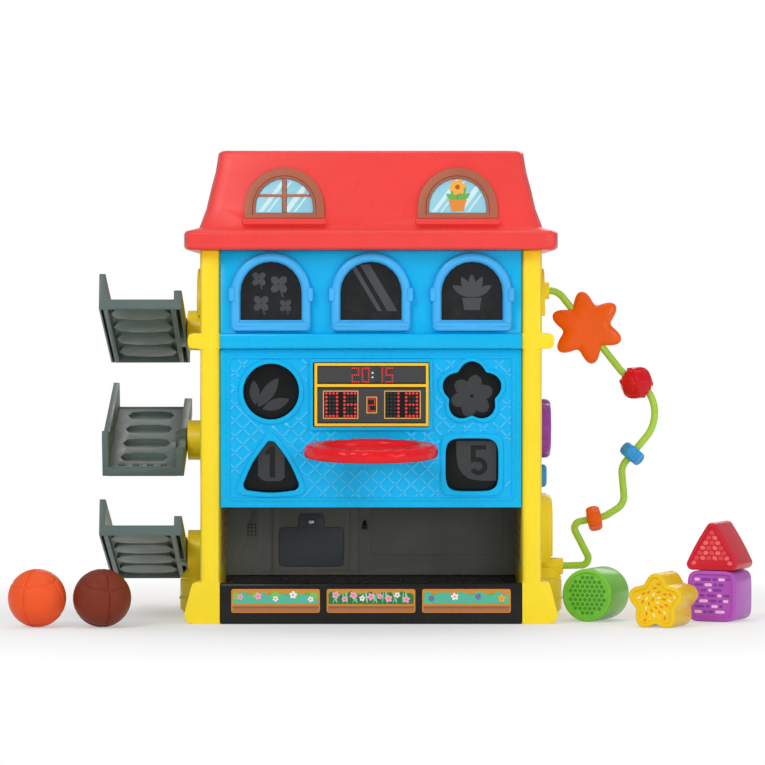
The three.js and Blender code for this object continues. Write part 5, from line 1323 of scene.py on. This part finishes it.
def star_block():
    """Yellow, with sprinkles."""
    low = box_of("block_star")[0].z
    outline = lobes(0, 0, 26, 0.74, 5, 140)
    rise = low - min(v for _u, v in outline)
    outline, middle = [(u, v + rise) for u, v in outline], (0, rise)
    face, room = moulded_block("star", "yellow", outline, middle), grown(outline, middle, -6.4)
    orange, pale = [], []
    for k in range(46):
        place = polar(*middle, 2.9 * math.sqrt(k + 0.5), k * GOLDEN_ANGLE)
        if within(room, *place):
            (orange if k % 3 else pale).append(ellipse(*place, 1.9, 0.85, 10, (k * 67) % 180))
    block_prints("block_star", face, ("orange", orange, "sprinkles_orange", (236, 126, 24)),
                 ("pale", pale, "sprinkles_pale", (255, 232, 180)))


# Floor, lamps, world and camera

WHITE = (1.0, 1.0, 1.0, 1.0)
WORLD_STRENGTH = 0.42
# The house's front and the camera's aim, in metres
FRONT_Y = -0.125
CAMERA_AIM = (0.01035, FRONT_Y, 0.21775)
CAMERA_LENS = 198.7


def floor():
    """A white floor that fades into plain white where the camera, a reflection or glass sees it."""
    piece = primitive("studio_floor", bpy.ops.mesh.primitive_circle_add, vertices=96, radius=9, fill_type='NGON')
    recipe = Recipe("studio_floor_white")
    piece.data.materials.append(recipe.finished({
        "Base Color": (0.9, 0.9, 0.9, 1), "Roughness": 0.8, "Specular IOR Level": 0.1}))
    x, y, _z = recipe.add("SeparateXYZ", {0: recipe.place}).outputs
    squares = recipe.math('POWER', recipe.math('MULTIPLY', x, 0.75), 2.0), recipe.math('POWER', y, 2.0)
    share = recipe.ranged(recipe.math('SQRT', recipe.math('ADD', *squares)), 0.35, 1, 0.22, 0.55)
    seen = recipe.math('MULTIPLY', recipe.light_path("Camera", "Glossy", "Transmission"), share)
    white = recipe.add("Emission", {"Color": WHITE, "Strength": 1}).outputs[0]
    blend = recipe.blend(seen, recipe.shader.outputs[0], white)
    recipe.fill(recipe.nodes["Material Output"], {"Surface": blend})


def lamp(name, place, aim, energy, size, mirrored=True):
    """A square softbox; mirrored says whether glossy surfaces show it."""
    light = primitive(name, bpy.ops.object.light_add, type='AREA', location=place)
    light.data.energy = energy
    light.data.size = size
    light.visible_glossy = mirrored
    light.rotation_euler = (Vector(aim) - Vector(place)).to_track_quat('-Z', 'Y').to_euler()


def studio():
    floor()
    lamp("key_softbox", (-1.9, -2.9, 2.6), (0, 0, 0.2), 50, 1.5)
    lamp("fill_softbox", (2.7, -2.6, 1.0), (0, 0, 0.15), 22, 1.6)
    lamp("front_softbox", (0.3, -3.4, 0.45), (0, 0, 0.12), 20, 1.2, mirrored=False)
    lamp("top_softbox", (0.2, 0.4, 3.2), (0, 0, 0.2), 22, 2.0)
    lamp("back_softbox", (0.6, 3.2, 2.0), (0, 0, 0.2), 20, 2.0)
    scene = bpy.context.scene
    scene.world = scene.world or bpy.data.worlds.new("studio_world")
    scene.world.use_nodes = True
    wiring = Wiring(scene.world.node_tree)
    wiring.nodes.clear()
    lit, white = (wiring.add("Background", {"Color": WHITE, "Strength": strength}).outputs[0]
                  for strength in (WORLD_STRENGTH, 1))
    wiring.add("OutputWorld", {0: wiring.blend(wiring.light_path("Camera", "Transmission"), lit, white)})
    scene.view_settings.view_transform = 'Standard'


def camera():
    place = Vector((0, FRONT_Y - sizes().camera_distance, sizes().camera_height))
    view = primitive("photo_camera", bpy.ops.object.camera_add, location=place)
    view.rotation_euler = (Vector(CAMERA_AIM) - place).to_track_quat('-Z', 'Y').to_euler()
    view.data.lens = CAMERA_LENS
    view.data.sensor_width = 36
    view.data.clip_end = 40
    bpy.context.scene.camera = view


# Operators, one for each group of pieces

def step(idname, label, text, *jobs):
    """An operator class that runs its jobs and lets any error through."""
    def execute(self, context):
        for job in jobs:
            job()
        return {'FINISHED'}
    return type("TOYHOUSE_OT_" + idname, (bpy.types.Operator,), {
        "bl_idname": "toyhouse." + idname, "bl_label": label, "__doc__": text, "bl_options": {'REGISTER', 'UNDO'},
        "execute": execute})


STEPS = (
    step("walls", "Walls and base", "Yellow side walls and back, black base", dress_walls),
    step("side_toys", "Dial and plate", "Purple dial and blue plate on the right wall", dress_side_toys),
    step("panels", "Front panels", "Blue front panels with smooth bands and the diamond lattice", dress_panels),
    step("windows", "Windows", "Arched frames with their mouldings, smoked lenses and their prints", dress_windows),
    step("flaps", "Sorter flaps", "Flaps behind the sorter holes and their prints", dress_flaps),
    step("scoreboard", "Scoreboard", "Printed scoreboard with dotted digits", dress_scoreboard),
    step("hoop", "Hoop", "Scalloped red hoop", hoop_ring),
    step("roof", "Roof", "Red roof and its arched windows", dress_roof),
    step("ramps", "Ramps", "Grey ball ramps with pin covers and yellow caps", dress_ramps),
    step("base_prints", "Planter pads", "Printed planter boxes and tray strips", dress_base, tray_stickers),
    step("housing", "Housing", "Grey housing, battery door, switch and screw", dress_housing),
    step("insides", "Inside parts", "Batteries, contacts, board and speaker", dress_insides),
    step("wire", "Bead wire", "Green bent wire", bead_wire),
    step("beads", "Beads", "Star, ribbed ball and ring beads", dress_beads),
    step("balls", "Balls", "Two balls with grooves", dress_balls),
    step("blocks", "Blocks", "Four shape blocks with printed faces", round_block, square_block,
         triangle_block, star_block),
    step("stage", "Stage", "Floor, lamps, white world and camera", studio, camera),
)


class TOYHOUSE_PT_steps(bpy.types.Panel):
    """Lists the toy house's steps in the sidebar."""
    bl_idname = "TOYHOUSE_PT_steps"
    bl_label = "Toy house"
    bl_space_type = 'VIEW_3D'
    bl_region_type = 'UI'
    bl_category = "Toy house"

    def draw(self, context):
        for operator in STEPS:
            self.layout.operator(operator.bl_idname)
        for name in HouseColours.__annotations__:
            self.layout.prop(context.scene.toy_house_colours, name)
        for name in HouseSizes.__annotations__:
            self.layout.prop(context.scene.toy_house_sizes, name)


CLASSES = (HouseColours, HouseSizes, *STEPS, TOYHOUSE_PT_steps)


def register():
    for item in CLASSES:
        bpy.utils.register_class(item)
    bpy.types.Scene.toy_house_colours = bpy.props.PointerProperty(type=HouseColours)
    bpy.types.Scene.toy_house_sizes = bpy.props.PointerProperty(type=HouseSizes)


def unregister():
    del bpy.types.Scene.toy_house_colours
    del bpy.types.Scene.toy_house_sizes
    for item in reversed(CLASSES):
        bpy.utils.unregister_class(item)


def main():
    register()
    for operator in STEPS:
        getattr(bpy.ops.toyhouse, operator.bl_idname.split(".")[1])()


if __name__ == "__main__":
    main()
